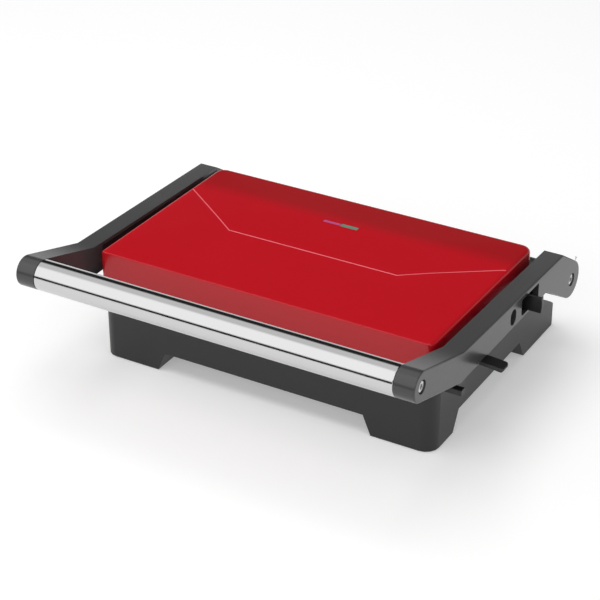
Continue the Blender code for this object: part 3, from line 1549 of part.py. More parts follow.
def build_base(root):
    """Everything that stays with the base."""
    finish(base_housing(), "base_housing", BLACK_PLASTIC, root)
    finish(bottom_cover(), "bottom_cover", SHEET_STEEL, root)
    for i, spot in enumerate(SCREW_PLACES, 1):
        finish(base_screw(spot), f"base_screw_{i}", STEEL, root)
    for i, spot in enumerate(pad_places(), 1):
        finish(foot_pad(spot), f"foot_pad_{i}", RUBBER, root)
    finish(plate(True), "lower_plate", CAST_PLATE, root)
    finish(heater(), "lower_heater", STEEL, root)
    finish(reflector(), "lower_reflector", SHEET_STEEL, root)
    finish(thermostat(), "lower_thermostat", CERAMIC, root)
    finish(thermal_fuse(), "thermal_fuse", CERAMIC, root)
    finish(terminal_block(), "terminal_block", CERAMIC, root)
    finish(cord_gland(), "cord_gland", RUBBER, root)
    finish(hinge_screw(), "hinge_screw_right", STEEL, root)
    finish(to_left(hinge_screw()), "hinge_screw_left", STEEL, root)
    finish(hinge_insert(), "hinge_insert_right", BRASS, root)
    finish(to_left(hinge_insert()), "hinge_insert_left", BRASS, root)
    finish(stop_cam(), "stop_cam", STEEL, root)


def build_arms(arms):
    """The two arms with the handle between them."""
    finish(right_arm(), "arm_right", ARM_PLASTIC, arms)
    finish(to_left(arm_body()), "arm_left", ARM_PLASTIC, arms)
    finish(arm_cover(), "arm_cover_right", BLACK_PLASTIC, arms)
    finish(to_left(arm_cover()), "arm_cover_left", BLACK_PLASTIC, arms)
    finish(handle_tube(), "handle_tube", STEEL, arms)
    finish(handle_plug(), "handle_plug_right", BLACK_PLASTIC, arms)
    finish(to_left(handle_plug()), "handle_plug_left", BLACK_PLASTIC, arms)
    finish(handle_screw(), "handle_screw_right", STEEL, arms)
    finish(to_left(handle_screw()), "handle_screw_left", STEEL, arms)
    finish(release_spring(), "release_spring", STEEL, arms)


def build_lid(lid):
    """The lid with its plate, heater and lights."""
    finish(lid_cover(), "lid_cover", RED_PAINT, lid)
    finish(lid_frame(), "lid_frame", BLACK_PLASTIC, lid)
    finish(upside_down(plate(False)), "upper_plate", CAST_PLATE, lid)
    finish(upside_down(heater()), "upper_heater", STEEL, lid)
    finish(upside_down(reflector()), "upper_reflector", SHEET_STEEL, lid)
    finish(upside_down(thermostat()), "upper_thermostat", CERAMIC, lid)
    finish(lamp_board(), "lamp_board", BOARD_GREEN, lid)
    looks = {"power_lens": POWER_LENS, "ready_lens": READY_LENS}
    for name, left, right, width in lens_places():
        finish(lens(left, right, width), name, looks[name], lid)
        finish(lamp(left, right), name.replace("lens", "lamp"), LAMP_GLASS, lid)
    for i, spot in enumerate(SCREW_PLACES, 1):
        finish(lid_screw(spot), f"lid_screw_{i}", STEEL, lid)


def build_grill():
    """Clear the scene and build every piece on the empties of its joint."""
    for thing in list(bpy.data.objects):
        bpy.data.objects.remove(thing)
    root = carrier("grill", (0, 0, 0))
    hinge = carrier("hinge_axis", (0, HINGE_Y, HINGE_Z), root)
    pins = carrier("pin_axis", (0, PLATE_Y, PIN_Z), hinge)
    lid = carrier("lid_axis", (0, PLATE_Y, PIN_Z), pins)
    latch = carrier("latch_track", (ARM_OUTER, LID_FRONT + LATCH_REAR, ARM_LOW), hinge)
    release = carrier("release_track", (ARM_OUTER, release_tab_y(), SHELF_Z), hinge)
    build_base(root)
    build_arms(hinge)
    finish(float_pin(), "float_pin_right", STEEL, pins)
    finish(to_left(float_pin()), "float_pin_left", STEEL, pins)
    build_lid(lid)
    finish(latch_slider(), "latch_slider", BLACK_PLASTIC, latch)
    finish(release_slider(), "release_slider", BLACK_PLASTIC, release)


build_grill()
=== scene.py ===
"""The looks of a contact grill, laid out as an add-on and run as a script."""

from math import cos, pi, radians, sin

import bmesh
import bpy
from bpy.props import FloatProperty, FloatVectorProperty, IntProperty, PointerProperty
from mathutils import Euler, Matrix, Vector


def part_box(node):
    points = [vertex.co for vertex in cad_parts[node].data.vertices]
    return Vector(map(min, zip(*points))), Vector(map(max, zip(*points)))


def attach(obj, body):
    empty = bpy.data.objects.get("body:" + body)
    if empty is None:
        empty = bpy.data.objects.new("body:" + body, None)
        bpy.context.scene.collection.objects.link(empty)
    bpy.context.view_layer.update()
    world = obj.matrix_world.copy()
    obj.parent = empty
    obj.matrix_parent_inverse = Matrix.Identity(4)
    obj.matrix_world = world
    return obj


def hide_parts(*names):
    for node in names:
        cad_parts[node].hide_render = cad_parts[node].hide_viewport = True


bl_info = {
    "name": "Contact grill finish",
    "version": (1, 1, 0),
    "blender": (4, 5, 0),
    "location": "3D View > Sidebar > Grill",
    "description": "Finishes a contact grill: shells, edges, metals, plastics and a studio",
    "category": "Object",
}

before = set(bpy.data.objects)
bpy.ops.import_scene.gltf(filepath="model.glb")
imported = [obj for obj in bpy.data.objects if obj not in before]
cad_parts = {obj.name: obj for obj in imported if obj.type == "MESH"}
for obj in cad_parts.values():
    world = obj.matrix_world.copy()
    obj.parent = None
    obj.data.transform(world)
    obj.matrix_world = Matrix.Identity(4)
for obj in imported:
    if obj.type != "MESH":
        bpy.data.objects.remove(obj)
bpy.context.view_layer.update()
SIDES = ("left", "right")
OVERRUN = 0.002
MERGE = 1e-6
LEAST_ROUND = 0.0006

# Shank radius, head radius, head height and recess radius of the two kinds of screw
SIDE_SCREW = (0.0020, 0.0042, 0.0020, 0.0021)
TAPPING_SCREW = (0.0017, 0.0035, 0.0017, 0.0016)
RECESS_SHARE = 0.6


# Sizes and colours that a user would change

def length(name, description, default, **more):
    """A property for a length in metres."""
    return FloatProperty(name=name, description=description, default=default, unit="LENGTH", **more)


def share(name, description, default):
    """A property for a share of another size."""
    return FloatProperty(
        name=name, description=description, default=default, subtype="FACTOR", min=0, max=1
    )


def angle(name, description, degrees):
    """A property for an angle."""
    return FloatProperty(
        name=name, description=description, default=radians(degrees), subtype="ANGLE"
    )


def colour(name, description, default):
    """A property for a colour."""
    return FloatVectorProperty(
        name=name, description=description, default=default, size=3, subtype="COLOR", min=0, max=1
    )


class LidSizes(bpy.types.PropertyGroup):
    """Form of the painted shell."""

    wall: length("Wall", "Thickness of the shell", 0.0025)
    rear_corner: length("Rear corner", "Plan radius of the rear corners", 0.008)
    front_corner: length("Front corner", "Plan radius of the front corners", 0.0045)
    edge: length("Edge", "Radius of the side and rear top edges", 0.0034)
    front_edge: length("Front edge", "Radius of the front top edge", 0.0009)
    drop: length("Facet drop", "Fall of the facets at the rear corners", 0.002)
    blend: length("Facet blend", "Softness of the ridges between facets", 0.0004)
    plateau_side: share("Plateau side", "Share of the half width at the plateau's rear", 0.529)
    plateau_rear: share("Plateau rear", "Share of the depth at the plateau's rear", 0.755)
    crease_width: length("Crease width", "Width of the groove across the top", 0.0010)
    crease_depth: length("Crease depth", "Depth of the groove", 0.0004)
    crease_side: share("Crease side", "Share of the half width at the groove's bends", 0.518)
    crease_front: share("Crease front", "Share of the depth at the groove's middle run", 0.446)
    crease_rear: share("Crease rear", "Share of the depth where the groove meets the sides", 0.742)


class PlateSizes(bpy.types.PropertyGroup):
    """Ribs of the cooking plates."""

    flange: length("Flange", "Width of the flange round the plate", 0.0065)
    rim: length("Rim", "Width of the rim round the ribs", 0.0030)
    rib_end: length("Rib end", "Gap from the rim to the ribs' ends", 0.004)
    rib_height: length("Rib height", "Height of a rib", 0.0023)
    rib_pitch: length("Rib pitch", "From one rib to the next", 0.0092)
    rib_foot: length("Rib foot", "Width of a rib at its foot", 0.0046)
    rib_crest: length("Rib crest", "Width of a rib at its crest", 0.0026)
    corner: length("Corner", "Plan radius of the dish", 0.0035)


class ScrewSizes(bpy.types.PropertyGroup):
    """Heads of the screws."""

    sides: IntProperty(name="Recess sides", description="Sides of the key's recess", default=6, min=3)
    chamfer: share("Chamfer", "Share of a head's height that is chamfered", 0.3)
    crown: share("Crown", "Width of a head's crown as a share of its foot", 0.86)


class FinishColours(bpy.types.PropertyGroup):
    """Colours of the finishes."""

    red: colour("Red", "Paint of the lid", (0.56, 0.0045, 0.0125))
    # The rear facet's colour below is painted shade, darker where less light falls on the facet.
    rear_painted_shade: colour("Rear painted shade", "Painted shade where the rear facet falls away", (0.40, 0.0065, 0.0105))
    # The crease colour below is a painted highlight, lighter where light catches the groove's edge.
    crease_painted_highlight: colour("Crease painted highlight", "Painted highlight in the crease", (0.84, 0.17, 0.21))
    housing: colour("Housing", "Moulded base", (0.014, 0.014, 0.015))
    arm: colour("Arm", "Side arms", (0.058, 0.058, 0.060))
    steel: colour("Steel", "Handle bar", (0.60, 0.60, 0.60))
    magenta: colour("Magenta", "Left light", (0.55, 0.10, 0.28))
    green: colour("Green", "Right light", (0.16, 0.30, 0.22))


class StudioSizes(bpy.types.PropertyGroup):
    """Camera, floor and lamps."""

    lens: FloatProperty(name="Lens", description="Focal length in mm", default=114.62, min=1)
    azimuth: angle("Azimuth", "Turn of the view", 30.257)
    elevation: angle("Elevation", "Height of the view", 29.726)
    roll: angle("Roll", "Roll of the view", 0.324)
    camera_x: length("Camera X", "Place of the camera", 0.5703)
    camera_y: length("Camera Y", "Place of the camera", -1.0024)
    camera_z: length("Camera Z", "Place of the camera", 0.7090)
    floor: length("Floor", "Half the width of the floor", 1.2)
    room: FloatProperty(name="Room", description="Light from all round", default=0.50, min=0)


def sizes():
    """The lid's sizes."""
    return bpy.context.scene.grill_lid


def colours():
    """The finishes' colours."""
    return bpy.context.scene.grill_colours


# Mesh tools

def arc(centre, radius, start, end, steps):
    """Points on an arc, from one angle to the other, in degrees."""
    angles = [radians(start + (end - start) * i / steps) for i in range(steps + 1)]
    return [(centre[0] + radius * cos(a), centre[1] + radius * sin(a)) for a in angles]


def rectangle(low, high, radii, steps=8):
    """A plan rectangle whose corners are rounded: front left, front right, rear right, rear left."""
    places = [
        (low[0], low[1], 1, 1), (high[0], low[1], -1, 1),
        (high[0], high[1], -1, -1), (low[0], high[1], 1, -1),
    ]
    points = []
    for (x, y, toward_x, toward_y), radius, start in zip(places, radii, (180, 270, 0, 90)):
        points += arc((x + toward_x * radius, y + toward_y * radius), radius, start, start + 90, steps)
    return points


def place_point(axis, a, b, along):
    """A point in space from two outline coordinates and its place along the axis."""
    return {"X": (along, a, b), "Y": (a, along, b), "Z": (a, b, along)}[axis]


def loft(name, rings, closed=False):
    """A solid through rings with the same number of points."""
    mesh = bmesh.new()
    loops = [[mesh.verts.new(point) for point in ring] for ring in rings]
    pairs = list(zip(loops, loops[1:]))
    if closed:
        pairs.append((loops[-1], loops[0]))
    for near, far in pairs:
        for i in range(len(near)):
            j = (i + 1) % len(near)
            mesh.faces.new((near[i], near[j], far[j], far[i]))
    if not closed:
        mesh.faces.new(loops[0])
        mesh.faces.new(loops[-1])
    return from_bmesh(name, mesh)


def from_bmesh(name, mesh):
    """An object from a bmesh, with its faces pointing out."""
    bmesh.ops.recalc_face_normals(mesh, faces=mesh.faces)
    data = bpy.data.meshes.new(name)
    mesh.to_mesh(data)
    mesh.free()
    return linked(name, data)


def linked(name, data):
    """A new object in the scene."""
    made = bpy.data.objects.new(name, data)
    bpy.context.scene.collection.objects.link(made)
    return made


def prism(name, outline, axis, low, high):
    """An outline drawn straight along an axis."""
    rings = [[place_point(axis, a, b, along) for a, b in outline] for along in (low, high)]
    return loft(name, rings)


def turned(name, profile, axis, centre, steps=48, closed=False):
    """A turned solid from (along, radius) points."""
    rings = [
        [place_point(axis, a, b, along) for a, b in arc(centre, radius, 0, 360, steps)[:-1]]
        for along, radius in profile
    ]
    return loft(name, rings, closed)


def bake(piece):
    """Apply the piece's modifiers."""
    bpy.context.view_layer.update()
    graph = bpy.context.evaluated_depsgraph_get()
    made = bpy.data.meshes.new_from_object(piece.evaluated_get(graph))
    made.name = piece.name
    piece.modifiers.clear()
    piece.data = made
    return piece


def combine(piece, tools, operation):
    """Apply a Boolean with each tool and remove the tools."""
    for tool in tools:
        step = piece.modifiers.new("step", "BOOLEAN")
        step.operation = operation
        step.object = tool
    bake(piece)
    for tool in tools:
        bpy.data.objects.remove(tool)
    return piece


def soften(piece, width, segments=3, limit=40):
    """Round the edges that turn more than the limit, and keep flat faces flat to the eye."""
    piece.data.shade_smooth()
    rounding = piece.modifiers.new("edges", "BEVEL")
    rounding.width = width
    rounding.segments = segments
    rounding.limit_method = "ANGLE"
    rounding.angle_limit = radians(limit)
    rounding.use_clamp_overlap = True
    weighting = piece.modifiers.new("flats", "WEIGHTED_NORMAL")
    weighting.mode = "FACE_AREA"
    weighting.weight = 100
    return bake(piece)


def smooth(piece, limit=35):
    """Shade smooth, but sharp past the limit."""
    piece.data.shade_smooth()
    piece.data.set_sharp_from_angle(angle=radians(limit))
    return piece


def merged_copy(node, name):
    """A copy of a CAD node's mesh whose loose triangles are merged into flat faces."""
    mesh = bmesh.new()
    mesh.from_mesh(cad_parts[node].data)
    bmesh.ops.remove_doubles(mesh, verts=mesh.verts, dist=MERGE)
    bmesh.ops.dissolve_limit(
        mesh, angle_limit=radians(0.5), verts=mesh.verts, edges=mesh.edges
    )
    return from_bmesh(name, mesh)


def adopt(piece, material, body, nodes=()):
    """Give a piece its material and body, and let it stand for CAD nodes."""
    piece.data.materials.clear()
    piece.data.materials.append(material)
    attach(piece, body)
    if nodes:
        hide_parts(*nodes)
    return piece


def dress(nodes, material):
    """Give CAD nodes a finished material."""
    for node in nodes:
        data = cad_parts[node].data
        data.materials.clear()
        data.materials.append(material)


# Geometry node trees

class Tree:
    """A geometry node tree with named inputs, written from left to right."""

    def __init__(self, name, inputs):
        self.group = bpy.data.node_groups.new(name, "GeometryNodeTree")
        face = self.group.interface
        face.new_socket("Geometry", in_out="INPUT", socket_type="NodeSocketGeometry")
        for label, kind in inputs:
            face.new_socket(label, in_out="INPUT", socket_type="NodeSocket" + kind)
        face.new_socket("Geometry", in_out="OUTPUT", socket_type="NodeSocketGeometry")
        self.start = self.group.nodes.new("NodeGroupInput")
        self.end = self.group.nodes.new("NodeGroupOutput")

    def given(self, label):
        """One of the tree's own inputs."""
        return self.start.outputs[label]

    def node(self, kind, values=(), out=0, **settings):
        """A node whose inputs are linked or set, by index or name; gives one output."""
        made = self.group.nodes.new(kind)
        for key, value in settings.items():
            setattr(made, key, value)
        for key, value in dict(values).items():
            if isinstance(value, bpy.types.NodeSocket):
                self.group.links.new(value, made.inputs[key])
            else:
                made.inputs[key].default_value = value
        return made.outputs[out] if out is not None else made

    def math(self, operation, a, b=0.0, c=0.0):
        """A Math node."""
        return self.node("ShaderNodeMath", {0: a, 1: b, 2: c}, operation=operation)

    def vector(self, operation, a, b, out=0):
        """A Vector Math node."""
        return self.node("ShaderNodeVectorMath", {0: a, 1: b}, out, operation=operation)

    def close(self, geometry):
        """Realize what the tree made and give it its material."""
        real = self.node("GeometryNodeRealizeInstances", {0: geometry})
        done = self.node("GeometryNodeSetMaterial", {"Geometry": real, "Material": self.given("Material")})
        self.group.links.new(done, self.end.inputs[0])
        return self.group


def grown(piece, tree, values):
    """Run a tree on a piece with its inputs set, and keep the result as a plain mesh."""
    step = piece.modifiers.new("form", "NODES")
    step.node_group = tree
    sockets = {item.name: item.identifier for item in tree.interface.items_tree
               if item.in_out == "INPUT"}
    for label, value in values.items():
        step[sockets[label]] = value
    return bake(piece)


def facet_tree():
    """Lowers a flat block's top to its facets, with soft ridges, and marks the rear facet where painted
    shade darkens the paint.
    """
    facets = [(f"{kind} {i}", "Vector") for i in range(3) for kind in ("Edge", "Fall")]
    tree = Tree("Faceted top", facets + [
        ("Blend", "Float"), ("Low", "Float"), ("Top", "Float"), ("Rear drop", "Float"),
        ("Material", "Material"),
    ])
    place = tree.node("GeometryNodeInputPosition")
    drop = 0.0
    for i in range(3):
        away = tree.vector("SUBTRACT", place, tree.given(f"Edge {i}"))
        fall = tree.vector("DOT_PRODUCT", away, tree.given(f"Fall {i}"), "Value")
        drop = tree.math("SMOOTH_MAX", fall, drop, tree.given("Blend"))
    height = tree.node("ShaderNodeSeparateXYZ", {0: place}, "Z")
    risen = tree.node("ShaderNodeMapRange", {
        "Value": height, "From Min": tree.given("Low"), "From Max": tree.given("Top"),
    })
    lowered = tree.math("MULTIPLY", tree.math("MULTIPLY", drop, risen), -1.0)
    offset = tree.node("ShaderNodeCombineXYZ", {"Z": lowered})
    shaped = tree.node("GeometryNodeSetPosition", {
        "Geometry": tree.given("Geometry"), "Offset": offset,
    })
    # The last facet is the rear one, and its mark for the painted shade grows between two shares of the
    # drop.
    shade_start = -0.1
    shade_end = 0.4
    rear = tree.node("ShaderNodeMapRange", {
        "Value": fall, "From Min": tree.math("MULTIPLY", tree.given("Rear drop"), shade_start),
        "From Max": tree.math("MULTIPLY", tree.given("Rear drop"), shade_end),
    }, interpolation_type="SMOOTHSTEP")
    marked = tree.node("GeometryNodeStoreNamedAttribute", {
        "Geometry": shaped, "Name": "rear facet", "Value": rear,
    }, data_type="FLOAT", domain="POINT")
    return tree.close(marked)


def screw_tree():
    """A screw on each point of a piece, turned as the point says, its crown on the point."""
    tree = Tree("Screws", [
        ("Shank radius", "Float"), ("Shank length", "Float"), ("Head radius", "Float"),
        ("Head height", "Float"), ("Chamfer", "Float"), ("Crown", "Float"),
        ("Recess sides", "Int"), ("Recess radius", "Float"), ("Recess depth", "Float"),
        ("Material", "Material"),
    ])
    given = tree.given
    base = tree.node("GeometryNodeMeshCircle", {
        "Vertices": 48, "Radius": given("Shank radius"),
    }, fill_type="NGON")
    rise = tree.math("MULTIPLY", given("Head height"), given("Chamfer"))
    wall = tree.math("SUBTRACT", given("Head height"), rise)
    widen = tree.math("DIVIDE", given("Head radius"), given("Shank radius"))
    solid, top = base, True
    for lift, scale in ((given("Shank length"), 1.0), (0.0, widen), (wall, 1.0),
                        (rise, given("Crown"))):
        step = tree.node("GeometryNodeExtrudeMesh", {
            "Mesh": solid, "Selection": top, "Offset Scale": lift, "Individual": False,
        }, None)
        top = step.outputs["Top"]
        solid = tree.node("GeometryNodeScaleElements", {
            "Geometry": step.outputs["Mesh"], "Selection": top, "Scale": scale,
        })
    under = tree.node("GeometryNodeFlipFaces", {"Mesh": base})
    both = tree.node("GeometryNodeJoinGeometry", out=None)
    for part in (solid, under):
        tree.group.links.new(part, both.inputs[0])
    closed = tree.node("GeometryNodeMergeByDistance", {
        "Geometry": both.outputs[0], "Distance": MERGE,
    })
    reach = tree.math("ADD", given("Shank length"), given("Head height"))
    down = tree.node("ShaderNodeCombineXYZ", {"Z": tree.math("MULTIPLY", reach, -1.0)})
    seated = tree.node("GeometryNodeTransform", {"Geometry": closed, "Translation": down})
    key = tree.node("GeometryNodeMeshCylinder", {
        "Vertices": given("Recess sides"), "Radius": given("Recess radius"),
        "Depth": tree.math("MULTIPLY", given("Recess depth"), 2.0),
    })
    cut = tree.node("GeometryNodeMeshBoolean", {"Mesh 1": seated, "Mesh 2": key},
                    operation="DIFFERENCE")
    turn = tree.node("GeometryNodeInputNamedAttribute", {"Name": "turn"}, data_type="FLOAT_VECTOR")
    points = tree.node("GeometryNodeMeshToPoints", {"Mesh": given("Geometry")})
    placed = tree.node("GeometryNodeInstanceOnPoints", {
        "Points": points, "Instance": cut, "Rotation": turn,
    })
    return tree.close(placed)


def rib_tree():
    """A row of ribs along X from the piece's one point, wider at the foot than at the crest."""
    tree = Tree("Plate ribs", [
        ("Count", "Int"), ("Pitch", "Float"), ("Length", "Float"), ("Foot", "Float"),
        ("Crest", "Float"), ("Height", "Float"), ("Root", "Float"), ("Material", "Material"),
    ])
    given = tree.given
    tall = tree.math("ADD", given("Height"), given("Root"))
    size = tree.node("ShaderNodeCombineXYZ", {"X": given("Foot"), "Y": given("Length"), "Z": tall})
    block = tree.node("GeometryNodeMeshCube", {"Size": size})
    place = tree.node("GeometryNodeInputPosition")
    split = tree.node("ShaderNodeSeparateXYZ", {0: place}, None)
    above = tree.math("GREATER_THAN", split.outputs["Z"], 0.0)
    narrow = tree.math("SUBTRACT", given("Crest"), given("Foot"))
    shift = tree.math("MULTIPLY", tree.math("SIGN", split.outputs["X"]),
                      tree.math("MULTIPLY", narrow, 0.5))
    lean = tree.math("MULTIPLY", tree.math("SIGN", split.outputs["Y"]),
                     tree.math("MULTIPLY", narrow, 0.5))
    rib = tree.node("GeometryNodeSetPosition", {
        "Geometry": block, "Selection": above,
        "Offset": tree.node("ShaderNodeCombineXYZ", {"X": shift, "Y": lean}),
    })
    lift = tree.math("SUBTRACT", tree.math("MULTIPLY", tall, 0.5), given("Root"))
    rib = tree.node("GeometryNodeTransform", {
        "Geometry": rib, "Translation": tree.node("ShaderNodeCombineXYZ", {"Z": lift}),
    })
    gaps = tree.math("SUBTRACT", given("Count"), 1.0)
    start = tree.math("MULTIPLY", tree.math("MULTIPLY", gaps, given("Pitch")), -0.5)
    row = tree.node("GeometryNodeMeshLine", {
        "Count": given("Count"),
        "Start Location": tree.node("ShaderNodeCombineXYZ", {"X": start}),
        "Offset": tree.node("ShaderNodeCombineXYZ", {"X": given("Pitch")}),
    })
    ribs = tree.node("GeometryNodeInstanceOnPoints", {"Points": row, "Instance": rib})
    ribs = tree.node("GeometryNodeRealizeInstances", {0: ribs})
    centre = tree.node("GeometryNodeMeshToPoints", {"Mesh": given("Geometry")})
    turn = tree.node("GeometryNodeInputNamedAttribute", {"Name": "turn"}, data_type="FLOAT_VECTOR")
    placed = tree.node("GeometryNodeInstanceOnPoints", {
        "Points": centre, "Instance": ribs, "Rotation": turn,
    })
    return tree.close(placed)


def marked_points(name, places):
    """A piece of loose points, each with the turn that a tree gives to what it puts there."""
    data = bpy.data.meshes.new(name)
    data.from_pydata([place for place, turn in places], [], [])
    turns = data.attributes.new("turn", "FLOAT_VECTOR", "POINT")
    for item, (place, turn) in zip(turns.data, places):
        item.vector = turn
    return linked(name, data)


# Materials

def new_tree(name):
    """An empty material with a Principled shader, its nodes and links."""
    material = bpy.data.materials.new(name)
    material.use_nodes = True
    nodes = material.node_tree.nodes
    return material, nodes, material.node_tree.links, nodes["Principled BSDF"]


def add(nodes, kind, **values):
    """A node with some inputs set by name."""
    node = nodes.new(kind)
    for key, value in values.items():
        node.inputs[key.replace("_", " ")].default_value = value
    return node


def blend_colour(nodes, links, factor, first, second):
    """A mix of two colours, each a socket or a plain colour."""
    mix = nodes.new("ShaderNodeMix")
    mix.data_type = "RGBA"
    links.new(factor, mix.inputs["Factor"])
    for socket, value in (("A", first), ("B", second)):
        if isinstance(value, bpy.types.NodeSocket):
            links.new(value, mix.inputs[socket])
        else:
            mix.inputs[socket].default_value = (*value, 1)
    return mix.outputs["Result"]


def surface_group(name, build):
    """A shader node group with vector in, and a mask and a height out."""
    group = bpy.data.node_groups.new(name, "ShaderNodeTree")
    for label, kind in (("Vector", "NodeSocketVector"), ("Scale", "NodeSocketFloat")):
        group.interface.new_socket(label, in_out="INPUT", socket_type=kind)
    for label in ("Mask", "Height"):
        group.interface.new_socket(label, in_out="OUTPUT", socket_type="NodeSocketFloat")
    start = group.nodes.new("NodeGroupInput")
    end = group.nodes.new("NodeGroupOutput")
    mask, height = build(group.nodes, group.links, start)
    group.links.new(mask, end.inputs["Mask"])
    group.links.new(height, end.inputs["Height"])
    return group


def grain_group():
    """Fine moulded grain over a slow change of gloss."""
    def build(nodes, links, start):
        slow = add(nodes, "ShaderNodeTexNoise", Scale=30.0, Detail=3.0)
        fine = add(nodes, "ShaderNodeTexNoise", Detail=2.0, Roughness=0.6)
        links.new(start.outputs["Vector"], slow.inputs["Vector"])
        links.new(start.outputs["Vector"], fine.inputs["Vector"])
        links.new(start.outputs["Scale"], fine.inputs["Scale"])
        return slow.outputs["Fac"], fine.outputs["Fac"]
    return surface_group("Moulded grain", build)


def brushed_group():
    """Fine lines round a bar that runs along X, as polishing leaves them."""
    def build(nodes, links, start):
        stretch = nodes.new("ShaderNodeVectorMath")
        stretch.operation = "MULTIPLY"
        stretch.inputs[1].default_value = (0.04, 1.0, 1.0)
        lines = add(nodes, "ShaderNodeTexNoise", Detail=4.0, Roughness=0.7)
        slow = add(nodes, "ShaderNodeTexNoise", Scale=22.0, Detail=2.0)
        links.new(start.outputs["Vector"], stretch.inputs[0])
        links.new(stretch.outputs["Vector"], lines.inputs["Vector"])
        links.new(start.outputs["Scale"], lines.inputs["Scale"])
        links.new(start.outputs["Vector"], slow.inputs["Vector"])
        return slow.outputs["Fac"], lines.outputs["Fac"]
    return surface_group("Brushed lines", build)


def finish_material(name, base, group, scale, shift, rough, bump, metallic=0.0, **sockets):
    """A finish whose colour and roughness vary with a group's mask, with its height as bump."""
    material, nodes, links, shader = new_tree(name)
    place = nodes.new("ShaderNodeTexCoord")
    effect = nodes.new("ShaderNodeGroup")
    effect.node_tree = bpy.data.node_groups[group]
    effect.inputs["Scale"].default_value = scale
    links.new(place.outputs["Object"], effect.inputs["Vector"])
    dark = [max(c * (1 - shift), 0) for c in base]
    light = [min(c * (1 + shift), 1) for c in base]
    tint = blend_colour(nodes, links, effect.outputs["Mask"], dark, light)
    links.new(tint, shader.inputs["Base Color"])

    gloss = nodes.new("ShaderNodeMapRange")
    gloss.inputs["To Min"].default_value = rough[0]
    gloss.inputs["To Max"].default_value = rough[1]
    links.new(effect.outputs["Mask"], gloss.inputs["Value"])
    links.new(gloss.outputs["Result"], shader.inputs["Roughness"])

    relief = add(nodes, "ShaderNodeBump", Strength=bump, Distance=0.0002)
    links.new(effect.outputs["Height"], relief.inputs["Height"])
    links.new(relief.outputs["Normal"], shader.inputs["Normal"])
    shader.inputs["Metallic"].default_value = metallic
    for key, value in sockets.items():
        shader.inputs[key.replace("_", " ")].default_value = value
    return material


def red_paint_with_painted_light():
    """Gloss paint, with painted shade darkening the rear facet and a painted highlight in the crease."""
    tone = colours()
    material = finish_material(
        "Red paint with painted shade and highlight", tone.red, "Moulded grain", 1100, 0.015, (0.20, 0.23), 0.004,
        Specular_IOR_Level=0.42,
    )
    nodes = material.node_tree.nodes
    links = material.node_tree.links
    shader = nodes["Principled BSDF"]
    tint = shader.inputs["Base Color"].links[0].from_socket
    # These masks paint shade onto the rear facet and a highlight into the crease.
    for name, target in (("rear facet", tone.rear_painted_shade), ("crease", tone.crease_painted_highlight)):
        mark = nodes.new("ShaderNodeAttribute")
        mark.attribute_name = name
        tint = blend_colour(nodes, links, mark.outputs["Fac"], tint, target)
    links.new(tint, shader.inputs["Base Color"])
    return material


def make_finishes():
    """Every finish of the grill, by name."""
    tone = colours()
    grain_group()
    brushed_group()
    plain = "Moulded grain"
    lines = "Brushed lines"
    rows = {
        "housing": ("Moulded black", tone.housing, plain, 3200, 0.10, (0.36, 0.46), 0.16, 0.0),
        "frame": ("Lid frame black", (0.006, 0.006, 0.006), plain, 3200, 0.1, (0.5, 0.6), 0.1, 0.0),
        "arm": ("Semi-gloss arm", tone.arm, plain, 2400, 0.04, (0.22, 0.27), 0.02, 0.0),
        "tab": ("Black tab", (0.010, 0.010, 0.011), plain, 2400, 0.08, (0.30, 0.38), 0.05, 0.0),
        "pin": ("Blacked pin", (0.010, 0.010, 0.011), plain, 1500, 0.10, (0.35, 0.45), 0.05, 0.0),
        "steel": ("Polished steel", tone.steel, lines, 9000, 0.03, (0.11, 0.14), 0.012, 1.0),
        "fastener": ("Plated fastener", (0.62, 0.62, 0.63), plain, 1500, 0.08, (0.2, 0.3), 0.04, 1.0),
        "brass": ("Turned brass", (0.62, 0.44, 0.18), lines, 4000, 0.08, (0.26, 0.40), 0.10, 1.0),
        "plate": ("Non-stick coat", (0.014, 0.014, 0.015), plain, 5200, 0.2, (0.38, 0.55), 0.3, 0.0),
        "sheet": ("Rolled sheet", (0.48, 0.49, 0.50), lines, 2500, 0.08, (0.30, 0.42), 0.12, 1.0),
        "heater": ("Annealed tube", (0.16, 0.14, 0.13), plain, 1800, 0.25, (0.34, 0.52), 0.12, 1.0),
        "rubber": ("Foot rubber", (0.012, 0.012, 0.012), plain, 2600, 0.20, (0.70, 0.85), 0.30, 0.0),
        "ceramic": ("Ceramic", (0.70, 0.66, 0.58), plain, 1500, 0.05, (0.45, 0.60), 0.12, 0.0),
        "board": ("Green laminate", (0.03, 0.13, 0.05), plain, 900, 0.15, (0.35, 0.50), 0.06, 0.0),
        "magenta": ("Magenta lens", tone.magenta, plain, 700, 0.10, (0.12, 0.20), 0.02, 0.0),
        "green": ("Green lens", tone.green, plain, 700, 0.10, (0.12, 0.20), 0.02, 0.0),
        "ink": ("White ink", (0.75, 0.75, 0.75), plain, 2000, 0.05, (0.45, 0.55), 0.05, 0.0),
    }
    made = {key: finish_material(*row) for key, row in rows.items()}
    made["red"] = red_paint_with_painted_light()
    made["lamp"] = finish_material(
        "Lamp glass", (0.80, 0.62, 0.52), plain, 500, 0.05, (0.05, 0.10), 0.01,
        Transmission_Weight=0.7,
    )
    return made


FINISHES = {}


# Lid

def lid_limits():
    """Low and high corners of the lid's shell, from the frame."""
    low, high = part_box("lid_cover")
    return Vector(low), Vector(high)


